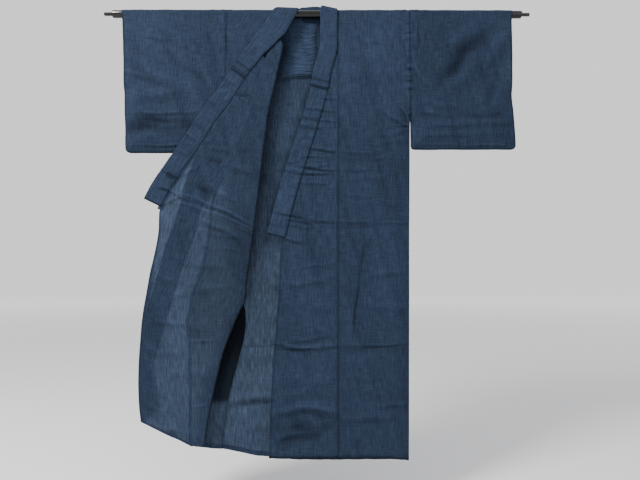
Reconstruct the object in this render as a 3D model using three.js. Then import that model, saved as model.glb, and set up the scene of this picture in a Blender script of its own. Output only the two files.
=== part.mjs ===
// An unlined summer kimono for a man, hung through both sleeves on a round lacquered rod.
// The wearer's left front hangs flat (+X side); the wearer's right front is folded back on
// itself (-X side), so that it shows its inside and the back is seen behind it.
// Millimetres, +X to the wearer's left, +Y to the wearer's back, +Z up; the origin is the
// middle of the rod's axis. Every piece of cloth is a closed wall over a grid of points.
import * as THREE from "three";

// ---------- driving dimensions ----------
const ROD_RADIUS = 12.5;
const ROD_HALF = 691;
const ROD_CHAMFER = 4;
const PIN_RADIUS = 6;
const PIN_LENGTH = 27;

const CLOTH = 1.4; // wall that stands for one layer of cloth
const BAND = 2.4; // the collar is folded double
const SEAM = 0.3; // between two pieces that are sewn together
const ON_ROD = ROD_RADIUS + 0.4 + CLOTH / 2; // middle of a wall that lies over the rod

const SHOULDER = 307; // centre back to armhole
const NECK_HALF = 67; // centre back to the neck's side, on the shoulder
const NECK_DROP = 26; // back neckline below the rod's axis
const ARMHOLE = 380; // sleeve sewn to the body down to here
const SIDE_AT_HEM = 284;
const BACK_LENGTH = 1456;
const FRONT_LENGTH = 1452;
const FRONT_CORNER_DROP = 10; // the side seam's end hangs lower than the hem's middle
const BACK_RISE_OPEN = 31; // the hem is lifted at the opened side

const OKUMI_TOP = 145; // point of the overlap panel below the rod's axis
const COLLAR_END = 759; // lower end of the collar along the closed front
const COLLAR_WIDTH_TOP = 55;
const COLLAR_WIDTH_END = 60;
const OVER_COLLAR_END = 245; // second collar layer ends here on the closed front
const FOLD_ROUND = 6; // half the thickness of the opened front's fold
const FLAT_FOLD = 1.5; // the same where the fold runs into the neckline

const CUFF_OPENING = 275;
const PINCH = 55; // layers spread from a seam to their full gap over this width

const PATCH_HALF = 165; // shoulder patch inside the back
const PATCH_TOP = 29;
const PATCH_BOTTOM = 226;

// ---------- numbers and curves ----------
const lerp = THREE.MathUtils.lerp;
const smoothstep = THREE.MathUtils.smoothstep;
const point = (x, y, z) => new THREE.Vector3(x, y, z);

// A smooth curve through a table's rows, read by its first column: track(rows, column)(at).
function track(rows, column) {
  const slope = rows.map((row, i) => {
    const before = rows[Math.max(i - 1, 0)];
    const after = rows[Math.min(i + 1, rows.length - 1)];
    return (after[column] - before[column]) / (after[0] - before[0]);
  });
  return (at) => {
    let i = rows.findIndex((row, k) => k > 0 && at <= row[0]);
    if (i < 0) i = rows.length - 1;
    const [a, b] = [rows[i - 1], rows[i]];
    const span = b[0] - a[0];
    const s = THREE.MathUtils.clamp((at - a[0]) / span, 0, 1);
    const [s2, s3] = [s * s, s * s * s];
    return (
      a[column] * (2 * s3 - 3 * s2 + 1) +
      b[column] * (3 * s2 - 2 * s3) +
      span * (slope[i - 1] * (s3 - 2 * s2 + s) + slope[i] * (s3 - s2))
    );
  };
}

// Evenly spaced numbers from a to b, both included.
const spread = (a, b, steps) => Array.from({ length: steps + 1 }, (_, i) => lerp(a, b, i / steps));

// ---------- walls ----------
// The direction square to the grid at one of its points.
function squareTo(rows, i, j) {
  const last = rows.length - 1;
  const end = rows[0].length - 1;
  const along = rows[Math.min(i + 1, last)][j].clone().sub(rows[Math.max(i - 1, 0)][j]);
  const across = rows[i][Math.min(j + 1, end)].clone().sub(rows[i][Math.max(j - 1, 0)]);
  return along.cross(across).normalize();
}

// A closed wall of even thickness: rows[i][j] is the middle of the wall.
function wall(rows, thickness) {
  const high = rows.length;
  const wide = rows[0].length;
  const positions = [];
  for (const side of [0.5, -0.5])
    rows.forEach((row, i) =>
      row.forEach((middle, j) => {
        const p = middle.clone().addScaledVector(squareTo(rows, i, j), side * thickness);
        positions.push(p.x, p.y, p.z);
      }),
    );
  const index = [];
  const quad = (a, b, c, d) => index.push(a, b, c, a, c, d);
  const upper = (i, j) => i * wide + j;
  const lower = (i, j) => high * wide + i * wide + j;
  for (let i = 0; i + 1 < high; i++)
    for (let j = 0; j + 1 < wide; j++) {
      quad(upper(i, j), upper(i + 1, j), upper(i + 1, j + 1), upper(i, j + 1));
      quad(lower(i, j), lower(i, j + 1), lower(i + 1, j + 1), lower(i + 1, j));
    }
  for (let i = 0; i + 1 < high; i++) {
    quad(upper(i, 0), lower(i, 0), lower(i + 1, 0), upper(i + 1, 0));
    quad(upper(i + 1, wide - 1), lower(i + 1, wide - 1), lower(i, wide - 1), upper(i, wide - 1));
  }
  for (let j = 0; j + 1 < wide; j++) {
    quad(upper(0, j + 1), lower(0, j + 1), lower(0, j), upper(0, j));
    quad(upper(high - 1, j), lower(high - 1, j), lower(high - 1, j + 1), upper(high - 1, j + 1));
  }
  return facingOut(positions, index);
}

// A geometry whose faces point out, whichever way round the grid was.
function facingOut(positions, index) {
  const corner = (k) => point().fromArray(positions, 3 * index[k]);
  let volume = 0;
  for (let k = 0; k < index.length; k += 3)
    volume += corner(k).dot(corner(k + 1).cross(corner(k + 2)));
  if (volume < 0)
    for (let k = 0; k < index.length; k += 3) [index[k], index[k + 1]] = [index[k + 1], index[k]];
  const geometry = new THREE.BufferGeometry();
  geometry.setAttribute("position", new THREE.Float32BufferAttribute(positions, 3));
  geometry.setIndex(index);
  geometry.computeVertexNormals();
  return geometry;
}

// ---------- how far the front and back hang apart ----------
// Half the gap between two layers far from any seam: the rod's width at the top, less below.
const HALF_GAP = [
  // depth below the axis, half gap
  [0, ON_ROD],
  [60, ON_ROD],
  [300, 11.5],
  [700, 9.5],
  [1100, 10.5],
  [1470, 12],
];
const openGap = track(HALF_GAP, 1);
const CLOSED_GAP = (SEAM + CLOTH) / 2;

// Half the gap at a distance from the nearest sewn edge.
const halfGap = (depth, distance) =>
  lerp(CLOSED_GAP, openGap(depth), Math.sqrt(smoothstep(distance, 0, PINCH)));

// The side seam of the closed half, and of the opened half, whose seam is drawn in to the
// middle where the front stands open and takes the back with it.
const sideClosed = (depth) => lerp(SHOULDER, SIDE_AT_HEM, Math.max(depth - 250, 0) / 1200);
const SIDE_OPEN = [
  // depth, distance from the centre back, how far the back bellies out behind
  [0, SHOULDER, 0],
  [380, 306, 0],
  [700, 297, 4],
  [900, 290, 12],
  [1000, 266, 24],
  [1080, 249, 32],
  [1180, 262, 26],
  [1300, 289, 12],
  [1470, 309, 4],
];
const sideOpen = track(SIDE_OPEN, 1);
const belly = track(SIDE_OPEN, 2);

// From a point to the side seam, which starts at the armhole's lower end.
function toSideSeam(side, x, depth) {
  const across = side(depth) - Math.abs(x);
  return depth > ARMHOLE ? across : Math.hypot(across, ARMHOLE - depth);
}

// ---------- body panels: one strip each, from the back hem over the rod to the front hem ----------
// Each strip is two nodes, parted by SEAM along the rod's top, so that its two walls collide as
// two plates with the hollow between them open.
const BACK_ROWS = [1, 0.92, 0.84, 0.76, 0.68, 0.6, 0.52, 0.44, 0.36, 0.28, 0.2, 0.13, 0.07];
const NECK_ROWS = [50, NECK_DROP, 20, 12, 5, 0]; // depths where the neckline rounds
const ROD_ANGLES = [72, 48, 24, 0, -24, -48, -72]; // from the back over the rod's top to the front
const PARTING = THREE.MathUtils.radToDeg(SEAM / 2 / ON_ROD);
const REAR_ANGLES = [72, 48, 24, PARTING];
const FRONT_ANGLES = [-PARTING, -24, -48, -72];
const backNeck = (depth) =>
  depth >= NECK_DROP ? SEAM / 2 : NECK_HALF * Math.sqrt(1 - (depth / (NECK_DROP + 0.5)) ** 2);
const okumiSeamClosed = (depth) => lerp(67, 59.5, depth / FRONT_LENGTH);

// Back row of either half at a depth: columns are shares of the way from the centre to the side.
function backRow(half, side, rise, bulge, depth, columns) {
  const inner = backNeck(depth);
  return columns.map((c) => {
    const x = lerp(inner, side(depth), c);
    const y = halfGap(depth, toSideSeam(side, x, depth)) + bulge(depth) * Math.sin(Math.PI * c) ** 2;
    return point(half * x, y, -depth + (rise * c * depth) / BACK_LENGTH);
  });
}

// Row that lies on the rod, at an angle from straight up.
function rodRow(half, angle, columns) {
  const turn = THREE.MathUtils.degToRad(angle);
  return columns.map((c) =>
    point(half * lerp(NECK_HALF, SHOULDER, c), ON_ROD * Math.sin(turn), ON_ROD * Math.cos(turn)),
  );
}

function bodyBack(half, side, rise, bulge, columns) {
  const depths = [...BACK_ROWS.map((share) => share * BACK_LENGTH), ...NECK_ROWS];
  return [
    ...depths.map((depth) => backRow(half, side, rise, bulge, depth, columns)),
    ...REAR_ANGLES.map((angle) => rodRow(half, angle, columns)),
  ];
}

// Depth where the front of the closed half ends, a little lower at the side seam.
const closedHem = (x) => FRONT_LENGTH + FRONT_CORNER_DROP * smoothstep(x, 200, SIDE_AT_HEM);

const BODY_COLUMNS = [0, 0.1, 0.22, 0.36, 0.5, 0.64, 0.76, 0.86, 0.93, 0.97, 1];

function frontClosed() {
  const columns = BODY_COLUMNS;
  const front = [0, 40, 90, 160, 240, 320, ARMHOLE, ...spread(460, FRONT_LENGTH, 12)];
  const frontRow = (depth) =>
    columns.map((c) => {
      const x = lerp(okumiSeamClosed(depth), sideClosed(depth), c);
      const hang = (depth * closedHem(x)) / FRONT_LENGTH;
      return point(x, -halfGap(depth, toSideSeam(sideClosed, x, depth)), -hang);
    });
  return [...FRONT_ANGLES.map((angle) => rodRow(1, angle, columns)), ...front.map(frontRow)];
}

// The opened front. Each row runs from the side seam to a pleat, back to the fold, round it,
// and on over itself to the overlap panel's seam, which lies higher than the fold.
const OPEN_FRONT = [
  // depth, side, pleat, fold, seam x, seam depth, pleat depth from 0 to 1
  [0, 307, 170, 78, 67.5, 0, 0],
  [40, 307, 175, 95, 88, 36, 0],
  [78, 307, 180, 102, 108, 78, 0],
  [136, 307, 190, 116, 152, 128, 0],
  [187, 307, 200, 127, 174, 163, 0],
  [255, 307, 205, 141, 202, 232, 0],
  [355, 307, 215, 163, 228, 326, 0],
  [440, 305, 220, 173, 252, 416, 0],
  [521, 302, 225, 183, 284, 497, 0],
  [640, 299, 232, 196, 328, 598, 0],
  [760, 295, 238, 210, 346, 714, 0],
  [880, 291, 246, 227, 364, 838, 0],
  [960, 280, 256, 235, 390, 918, 0.05],
  [1010, 263, 268, 238, 404, 968, 0.4],
  [1060, 251, 300, 281, 412, 1028, 0.8],
  [1120, 252, 328, 301, 406, 1090, 1],
  [1200, 267, 356, 320, 402, 1180, 1],
  [1280, 285, 376, 335, 400, 1264, 1],
  [1360, 298, 384, 348, 399, 1344, 1],
  [1456, 309, 388, 359, 398, 1408, 1],
];
const openFront = {
  side: track(OPEN_FRONT, 1),
  pleat: track(OPEN_FRONT, 2),
  fold: track(OPEN_FRONT, 3),
  seam: track(OPEN_FRONT, 4),
  seamDepth: track(OPEN_FRONT, 5),
  pleating: track(OPEN_FRONT, 6),
};
const OPEN_ROWS = [
  0, 40, 78, 105, 136, 187, 220, 255, 305, 355, 440, 521, 580, 640, 700, COLLAR_END, 820, 880, 960, 1010,
  1040, 1080, 1120, 1200, 1280, 1360, 1410, BACK_LENGTH,
];
const OKUMI_FROM = 187; // first of those rows that the overlap panel has
const UNDER = -6; // first layer of the pleat
const MIDDLE = -14; // second layer, and the hidden front above the pleat
const OVER = MIDDLE - 2 * FOLD_ROUND; // the part that is folded back
const OPEN_HEM_RISE = 30; // the opened front's hem climbs from the side seam to the fold
const PLEAT_NOSE = 4; // the pleat's rounded end reaches past its two layers
// Columns of a row: shares of the way over the hidden part, from the pleat to the fold, round
// the fold and over the turned part. FLAT_SHARE is where each ends while the row lies flat.
const openHidden = spread(0, 1, 4);
const openReturn = spread(0.2, 1, 3);
const openAngles = [-45, 0, 45];
const openOver = spread(0, 1, 6);
const FLAT_SHARE = { hidden: 0.5, returning: 0.8, turned: 0.88 };
const FOLDS_FROM = [55, 130]; // depths between which the row changes from flat to folded
const HEM_LIFTS_FROM = 1150;

// One row of the opened front: the same columns in every row, lying flat near the shoulder
// and folded below it.
function openRow(depth) {
  const side = sideOpen(depth);
  const [pleat, fold] = [openFront.pleat(depth), openFront.fold(depth)];
  const pleating = THREE.MathUtils.clamp(openFront.pleating(depth), 0, 1);
  const seam = point(openFront.seam(depth), OVER, -openFront.seamDepth(depth));
  const folding = smoothstep(depth, ...FOLDS_FROM);
  const under = lerp(MIDDLE, UNDER, pleating);
  const rise = (share) => OPEN_HEM_RISE * share * smoothstep(depth, HEM_LIFTS_FROM, FRONT_LENGTH);
  const round = Math.min(FOLD_ROUND, FLAT_FOLD + Math.abs(seam.x - fold) / 5);
  const over = MIDDLE - 2 * round;
  const folded = [];
  const flat = [];
  const lay = (share) => {
    const x = lerp(side, seam.x, share);
    flat.push(point(x, -halfGap(depth, toSideSeam(sideOpen, x, depth)), -depth));
  };
  for (const s of openHidden) {
    const x = lerp(side, pleat, s);
    const spreading = -halfGap(depth, toSideSeam(sideOpen, x, depth));
    const pleated = s === 0 ? -CLOSED_GAP : under * Math.sqrt(s);
    folded.push(point(x, lerp(spreading, pleated, pleating), -depth + rise(s / 2)));
    lay(FLAT_SHARE.hidden * s);
  }
  for (const s of openReturn) {
    const atNose = s === openReturn[0];
    const nose = atNose ? PLEAT_NOSE * pleating : 0;
    const y = atNose ? (under + MIDDLE) / 2 : MIDDLE;
    folded.push(point(lerp(pleat, fold + round, s) + nose, y, -depth + rise((1 + s) / 2)));
    lay(lerp(FLAT_SHARE.hidden, FLAT_SHARE.returning, s));
  }
  for (const angle of openAngles) {
    const turn = THREE.MathUtils.degToRad(angle);
    const y = (MIDDLE + over) / 2 - round * Math.sin(turn);
    folded.push(point(fold + round - round * Math.cos(turn), y, -depth + rise(1)));
    lay(lerp(FLAT_SHARE.returning, FLAT_SHARE.turned, (angle + 60) / 120));
  }
  for (const s of openOver) {
    const start = point(fold + round, over, -depth + rise(1));
    folded.push(start.lerp(seam, s));
    lay(lerp(FLAT_SHARE.turned, 1, s));
  }
  return folded.map((p, j) => {
    const settled = flat[j].lerp(p, folding);
    return point(-settled.x, settled.y, settled.z);
  });
}

function frontOpened() {
  const front = OPEN_ROWS.map(openRow);
  const shares = front[0].map((p) => (-p.x - NECK_HALF) / (SHOULDER - NECK_HALF));
  const columns = shares.map((c) => THREE.MathUtils.clamp(c, 0, 1));
  return [...FRONT_ANGLES.map((angle) => rodRow(-1, angle, columns)), ...front];
}

// ---------- overlap panels (okumi) ----------
// Collar seam and, below the collar's end, the front edge of the closed side.
const CLOSED_EDGE = [
  // depth, x
  [OKUMI_TOP, 61],
  [207, 44],
  [251, 36],
  [319, 19],
  [403, -6],
  [497, -36],
  [579, -62],
  [658, -83],
  [COLLAR_END, -109],
  [790, -121],
  [958, -130],
  [1116, -142],
  [1271, -152],
  [FRONT_LENGTH, -158],
];
const closedEdge = track(CLOSED_EDGE, 1);
const CLOSED_COLLAR_ROWS = [OKUMI_TOP, 175, 210, OVER_COLLAR_END, ...spread(300, COLLAR_END, 6)];

function okumiClosed() {
  const shares = spread(0, 1, 6);
  const depths = [...CLOSED_COLLAR_ROWS, 785, ...spread(860, FRONT_LENGTH, 8)];
  return depths.map((depth) =>
    shares.map((c) => {
      const x = lerp(okumiSeamClosed(depth) - SEAM, closedEdge(depth), c);
      return point(x, -openGap(depth), -depth);
    }),
  );
}

// Collar seam and, below the collar's end, the fold at the outer edge of the opened side, with
// the strip that is turned under behind it. Rows are those of the opened front.
const OPEN_EDGE = [
  // depth along the cloth, edge x, edge depth, turned under x, turned under rise
  [187, 182, 157, 0, 0],
  [255, 231, 221, 0, 0],
  [355, 281, 302, 0, 0],
  [440, 336, 379, 0, 0],
  [521, 385, 459, 0, 0],
  [640, 452, 560, 0, 0],
  [760, 508, 659, 0, 0],
  [820, 512, 738, 4, 0],
  [880, 521, 795, 5, 0],
  [960, 536, 878, 9, 1],
  [1010, 544, 930, 14, 2],
  [1060, 552, 985, 20, 4],
  [1120, 559, 1048, 30, 7],
  [1200, 563, 1140, 42, 12],
  [1280, 564, 1220, 50, 20],
  [1360, 560, 1285, 56, 30],
  [1456, 553, 1334, 61, 46],
];
const openEdge = {
  x: track(OPEN_EDGE, 1),
  depth: track(OPEN_EDGE, 2),
  under: track(OPEN_EDGE, 3),
  underRise: track(OPEN_EDGE, 4),
};
const EDGE_FORWARD = 2; // the collar's side stands a little further forward than the seam
const TURN_GAP = 3; // half the thickness of the turned-under edge
const HEM_STEP = 0.9; // width of each of the last columns where nothing is turned under

function okumiOpened() {
  const shares = spread(0, 1, 6);
  const rows = OPEN_ROWS.filter((depth) => depth >= OKUMI_FROM);
  return rows.map((depth) => {
    const seam = point(openFront.seam(depth) + 2 * SEAM, OVER, -openFront.seamDepth(depth));
    const edge = point(openEdge.x(depth), OVER - EDGE_FORWARD, -openEdge.depth(depth));
    const turned = smoothstep(depth, COLLAR_END + 10, COLLAR_END + 110);
    const outward = edge.clone().sub(seam).normalize();
    const brink = edge.clone().addScaledVector(outward, -3 * HEM_STEP * (1 - turned));
    const over = shares.map((c) => seam.clone().lerp(brink, c));
    const under = Math.max(openEdge.under(depth), 0);
    const steps = [
      [-TURN_GAP * 0.6, TURN_GAP, 0],
      [under * 0.45, 2 * TURN_GAP, 0.45],
      [under, 2 * TURN_GAP, 1],
    ];
    const flat = [1, 2, 3].map((k) => brink.clone().addScaledVector(outward, k * HEM_STEP));
    const flap = steps.map(([inward, back, share]) =>
      edge.clone().add(point(-inward, back, openEdge.underRise(depth) * share)),
    );
    const row = [...over, ...flap.map((p, k) => flat[k].lerp(p, turned))];
    return row.map((p) => point(-p.x, p.y, p.z));
  });
}

// ---------- collar ----------
// The collar where it goes over the rod and round the back of the neck, from the closed side to
// the opened side. Over the rod its seam edge goes round the axis; the angle is from straight up.
const AROUND_ROD = 16.2;
const AROUND_BODY = 18; // on the opened side the collar lies on the body panel
const NECK_FRONT = [
  // angle, seam x, free x, free y, free z
  [-90, 65.8, 9, -16.8, 2],
  [-65, 65.6, 11, -15.5, 14],
  [-40, 65.4, 14, -11, 22],
  [-15, 65.2, 17, -4, 27],
  [15, 64.5, 19, 5, 30],
  [40, 63, 19, 12, 32],
  [65, 61, 17, 16.5, 33.5],
  [90, 58, 14, 18.4, 34.5],
];
const NECK_BACK = [
  // seam edge x, y, z, free edge x, y, z
  [50, 17.4, -14, 9, 19, 35],
  [28, 17.6, -24.5, 1, 19.4, 36],
  [0, 17.6, -28, -9, 19.4, 36],
  [-28, 17.6, -24.5, -26, 19.4, 35],
  [-50, 17.4, -14, -44, 19.4, 33],
];
const NECK_OPENED = [
  // the collar turns over here, so its outside lies on the body from here on
  [90, -58, -53, 20, 33],
  [65, -61, -66, 23.5, 31],
  [52, -62, -77, 20, 28.5],
  [40, -63, -90, 13.5, 25],
  [15, -64.5, -104, 7, 22.5],
  [-15, -65.6, -120, -1.5, 21],
  [-40, -66.1, -132, -10, 18],
  [-65, -66.3, -142, -16.5, 12],
  [-90, -66.4, -150, -19.4, 2],
];
const OPENED_FREE = [
  // rows of the opened front above the overlap panel: depth, how far the seam edge lies from the
  // body's edge, its y, free x, y, z
  [40, 1, -18.6, -164, -20.4, -20],
  [78, -1.2, -22, -176, -22.4, -46],
  [105, -2.4, -26.4, -190, -25.8, -66],
  [136, -2, -28, -208, -27.6, -90],
];

// Rows along a sewn edge: the collar stands square to the edge, in the cloth's plane.
function collarAlong(edge, depths, outward, forward) {
  return depths.map((depth, i) => {
    const seam = edge(depth);
    const ahead = edge(depths[Math.min(i + 1, depths.length - 1)]);
    const behind = edge(depths[Math.max(i - 1, 0)]);
    const along = ahead.sub(behind).setY(0).normalize();
    const square = point(along.z, 0, -along.x).multiplyScalar(outward);
    const width = lerp(COLLAR_WIDTH_TOP, COLLAR_WIDTH_END, depth / COLLAR_END);
    seam.addScaledVector(square, 2.5 * SEAM);
    return [seam, seam.clone().addScaledVector(square, width).add(point(0, -forward, 0))];
  });
}

function collarRows() {
  const closed = (depth) => {
    const x = depth < OKUMI_TOP ? okumiSeamClosed(depth) - 0.5 : closedEdge(depth);
    return point(x, -openGap(depth) - 1, -depth);
  };
  const opened = (depth) =>
    point(-openEdge.x(depth), OVER - EDGE_FORWARD, -openEdge.depth(depth));
  const overRod = (radius) => ([angle, seamX, x, y, z]) => {
    const turn = THREE.MathUtils.degToRad(angle);
    return [point(seamX, radius * Math.sin(turn), radius * Math.cos(turn)), point(x, y, z)];
  };
  const beside = ([depth, apart, seamY, x, y, z]) => [
    point(-openFront.seam(depth) + apart, seamY, -openFront.seamDepth(depth)),
    point(x, y, z),
  ];
  return [
    ...collarAlong(closed, [...CLOSED_COLLAR_ROWS.toReversed(), 110, 60, 20], -1, 1),
    ...NECK_FRONT.map(overRod(AROUND_ROD)),
    ...NECK_BACK.map(([a, b, c, d, e, f]) => [point(a, b, c), point(d, e, f)]),
    ...NECK_OPENED.map(overRod(AROUND_BODY)),
    ...OPENED_FREE.map(beside),
    ...collarAlong(opened, OPEN_ROWS.filter((d) => d >= OKUMI_FROM && d <= COLLAR_END), 1, 1.5),
  ];
}

// First and last row of the collar that the second layer covers: on the closed side from the
// row at OVER_COLLAR_END, on the opened side down to the row 255 along the front.
const OVER_COLLAR_ROWS = [6, 41];
const COVERED_SHARE = 0.93; // the collar is narrower where the second layer goes round its edge
const WRAP_OUT = BAND / 2 + 2 * SEAM + CLOTH / 2;

function collarGrid() {
  return collarRows().map(([seam, free], i) => {
    const covered = i >= OVER_COLLAR_ROWS[0] - 1 && i <= OVER_COLLAR_ROWS[1] + 1;
    return spread(0, covered ? COVERED_SHARE : 1, 3).map((c) => seam.clone().lerp(free, c));
  });
}

// The second layer wraps the collar from one side of the seam round its free edge to the other.
function overCollarGrid() {
  const collar = collarGrid();
  const rows = collarRows();
  const covered = [];
  for (let i = OVER_COLLAR_ROWS[0]; i <= OVER_COLLAR_ROWS[1]; i++) {
    const [seam, free] = rows[i];
    const leg = (side) =>
      collar[i].map((p, j) => p.clone().addScaledVector(squareTo(collar, i, j), side * WRAP_OUT));
    const normal = squareTo(collar, i, 3);
    const brow = [0.7, 0, -0.7].map((side) =>
      seam.clone().lerp(free, 1 - 0.02 * Math.abs(side)).addScaledVector(normal, side * WRAP_OUT),
    );
    covered.push([...leg(1), ...brow, ...leg(-1).reverse()]);
  }
  return covered;
}

// ---------- shoulder patch inside the back ----------
function patchWall() {
  const y = (x, depth) => {
    const back = halfGap(depth, Math.min(toSideSeam(sideClosed, x, depth), PINCH));
    const hanging = 5 * smoothstep(depth, 120, PATCH_BOTTOM); // its free edge stands off the back
    return back - CLOTH - SEAM - 0.2 - hanging;
  };
  return spread(PATCH_TOP, PATCH_BOTTOM, 8).map((depth) =>
    spread(-PATCH_HALF, PATCH_HALF, 10).map((x) => point(x, y(x, depth), -depth)),
  );
}

// ---------- sleeves ----------
// Outer edge and bottom edge; the corner between them is rounded.
const SLEEVE_EDGE = {
  closed: [
    // depth, x of the outer edge
    [0, 656],
    [30, 652],
    [285, 649],
    [336, 653],
    [420, 657],
    [470, 657],
  ],
  opened: [
    [0, 656],
    [30, 652],
    [131, 646],
    [315, 642],
    [400, 638],
    [480, 634],
  ],
};
const SLEEVE_BOTTOM = { closed: 466, opened: 476 };
const SLEEVE_CORNER = 16;
const SLEEVE_ROWS = [1, 0.985, 0.955, 0.9, 0.82, 0.72, 0.6, 0.48, 0.35, 0.22, 0.1, 0];

function sleeveWall(half, kind) {
  const edge = track(SLEEVE_EDGE[kind], 1);
  const bottom = SLEEVE_BOTTOM[kind];
  const inner = SHOULDER + SEAM + 0.3;
  const columns = [0, 0.03, 0.08, 0.16, 0.3, 0.45, 0.6, 0.75, 0.86, 0.93, 0.97, 1];
  const gapAt = (x, outer, depth) => {
    const toCuff = Math.hypot(outer - x, Math.max(CUFF_OPENING - depth, 0));
    const toBody = Math.hypot(x - inner, Math.max(ARMHOLE - depth, 0));
    return halfGap(depth, Math.min(toCuff, toBody, bottom - depth));
  };
  const hanging = (front) =>
    SLEEVE_ROWS.map((share) => {
      const depth = share * bottom;
      const corner = Math.max(depth - (bottom - SLEEVE_CORNER), 0);
      const round = SLEEVE_CORNER - Math.sqrt(SLEEVE_CORNER ** 2 - Math.min(corner, SLEEVE_CORNER) ** 2);
      const outer = edge(depth) - round;
      return columns.map((c) => {
        const x = lerp(inner, outer, c);
        return point(half * x, (front ? -1 : 1) * gapAt(x, outer, depth), -depth);
      });
    });
  const over = ROD_ANGLES.map((angle) => {
    const turn = THREE.MathUtils.degToRad(-angle);
    return columns.map((c) => {
      const x = lerp(inner, edge(0), c);
      return point(half * x, ON_ROD * Math.sin(turn), ON_ROD * Math.cos(turn));
    });
  });
  return [...hanging(true), ...over, ...hanging(false).reverse()];
}

// ---------- rod ----------
function rodGeometry() {
  const profile = [
    [0, -ROD_HALF - PIN_LENGTH],
    [PIN_RADIUS, -ROD_HALF - PIN_LENGTH],
    [PIN_RADIUS, -ROD_HALF],
    [ROD_RADIUS - ROD_CHAMFER, -ROD_HALF],
    [ROD_RADIUS, -ROD_HALF + ROD_CHAMFER],
    [ROD_RADIUS, ROD_HALF - ROD_CHAMFER],
    [ROD_RADIUS - ROD_CHAMFER, ROD_HALF],
    [PIN_RADIUS, ROD_HALF],
    [PIN_RADIUS, ROD_HALF + PIN_LENGTH],
    [0, ROD_HALF + PIN_LENGTH],
  ].map(([r, along]) => new THREE.Vector2(r, along));
  return new THREE.LatheGeometry(profile, 24).rotateZ(-Math.PI / 2);
}

// ---------- the object ----------
const NAVY = new THREE.MeshStandardMaterial({ color: 0x33465f, roughness: 0.9, side: THREE.DoubleSide });
const LACQUER = new THREE.MeshStandardMaterial({ color: 0x0b0b0c, roughness: 0.2 });

const kimono = new THREE.Group();

function add(name, geometry, material) {
  const mesh = new THREE.Mesh(geometry, material);
  mesh.name = name;
  kimono.add(mesh);
}

add("rod", rodGeometry(), LACQUER);
add("body_left_back", wall(bodyBack(1, sideClosed, 0, () => 0, BODY_COLUMNS), CLOTH), NAVY);
add("body_left_front", wall(frontClosed(), CLOTH), NAVY);
add("body_right_back", wall(bodyBack(-1, sideOpen, BACK_RISE_OPEN, belly, BODY_COLUMNS), CLOTH), NAVY);
add("body_right_front", wall(frontOpened(), CLOTH), NAVY);
add("okumi_left", wall(okumiClosed(), CLOTH), NAVY);
add("okumi_right", wall(okumiOpened(), CLOTH), NAVY);
add("sleeve_left", wall(sleeveWall(1, "closed"), CLOTH), NAVY);
add("sleeve_right", wall(sleeveWall(-1, "opened"), CLOTH), NAVY);
add("collar", wall(collarGrid(), BAND), NAVY);
add("over_collar", wall(overCollarGrid(), CLOTH), NAVY);
add("shoulder_patch", wall(patchWall(), CLOTH), NAVY);

export default kimono;
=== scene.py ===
"""A man's unlined summer kimono of dark blue hemp crepe, hung through its sleeves on a rod.

Sizes in the tables are millimetres: +X to the wearer's left, +Y to the wearer's back, +Z up,
from the middle of the rod's axis. Every piece of cloth is a grid of points worked out from two
parameters: how far along the cloth it lies, and how far across. The grid's cloth coordinates,
in metres across and along the weave, go with it as its UV map.
"""
import math

import bpy
import numpy as np
from mathutils import Matrix, Vector


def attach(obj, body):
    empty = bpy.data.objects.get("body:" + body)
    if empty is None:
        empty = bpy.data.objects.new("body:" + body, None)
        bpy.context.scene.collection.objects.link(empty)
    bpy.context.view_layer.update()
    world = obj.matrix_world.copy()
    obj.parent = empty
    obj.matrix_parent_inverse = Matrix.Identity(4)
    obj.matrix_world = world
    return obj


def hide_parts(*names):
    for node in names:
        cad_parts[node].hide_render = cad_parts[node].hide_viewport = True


MM = 0.001

# ---------- driving dimensions ----------
ROD_RADIUS = 12.5
ROD_HALF = 691
PIN_RADIUS = 6
PIN_LENGTH = 27

CLOTH = 1.4  # room that one layer takes
SEAM = 0.3
ON_ROD = ROD_RADIUS + 0.4 + CLOTH / 2

SHOULDER = 307  # centre back to armhole
NECK_HALF = 67
NECK_DROP = 26
ARMHOLE = 380
SIDE_AT_HEM = 284
TAPER_FROM = 250  # depth where the side seam starts to draw in
TAPER_OVER = 1200
OKUMI_SEAM_AT_HEM = 59.5
BACK_LENGTH = 1456
BACK_HEM = 1465
FRONT_LENGTH = 1452
FRONT_CORNER_DROP = 10
BACK_RISE_OPEN = 31
SIDE_RISE_POWER = 2.4

OKUMI_TOP = 145
COLLAR_END = 759
COLLAR_WIDTH_TOP = 55
COLLAR_WIDTH_END = 60
FOLD_ROUND = 6
FLAT_FOLD = 1.5

CUFF_OPENING = 275
PINCH = 55  # layers spread from a seam to their full gap over this width

PATCH_HALF = 165
PATCH_TOP = 5
PATCH_BOTTOM = 213
PATCH_SLANT = 24
PATCH_STANDS = 6  # how far its lower edge stands off the back


# ---------- numbers and curves ----------
def lerp(a, b, t):
    """From a at t = 0 to b at t = 1 along a straight line."""
    return a + (b - a) * t


def smooth(x, low, high):
    """0 at low and 1 at high, with level ends: 3 t^2 - 2 t^3."""
    t = np.clip((x - low) / (high - low), 0, 1)
    return t * t * (3 - 2 * t)


def bell(x, width=1):
    """1 at 0, falling off to both sides: e to the minus (x / width) squared."""
    return np.exp(-((x / width) ** 2))


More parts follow.
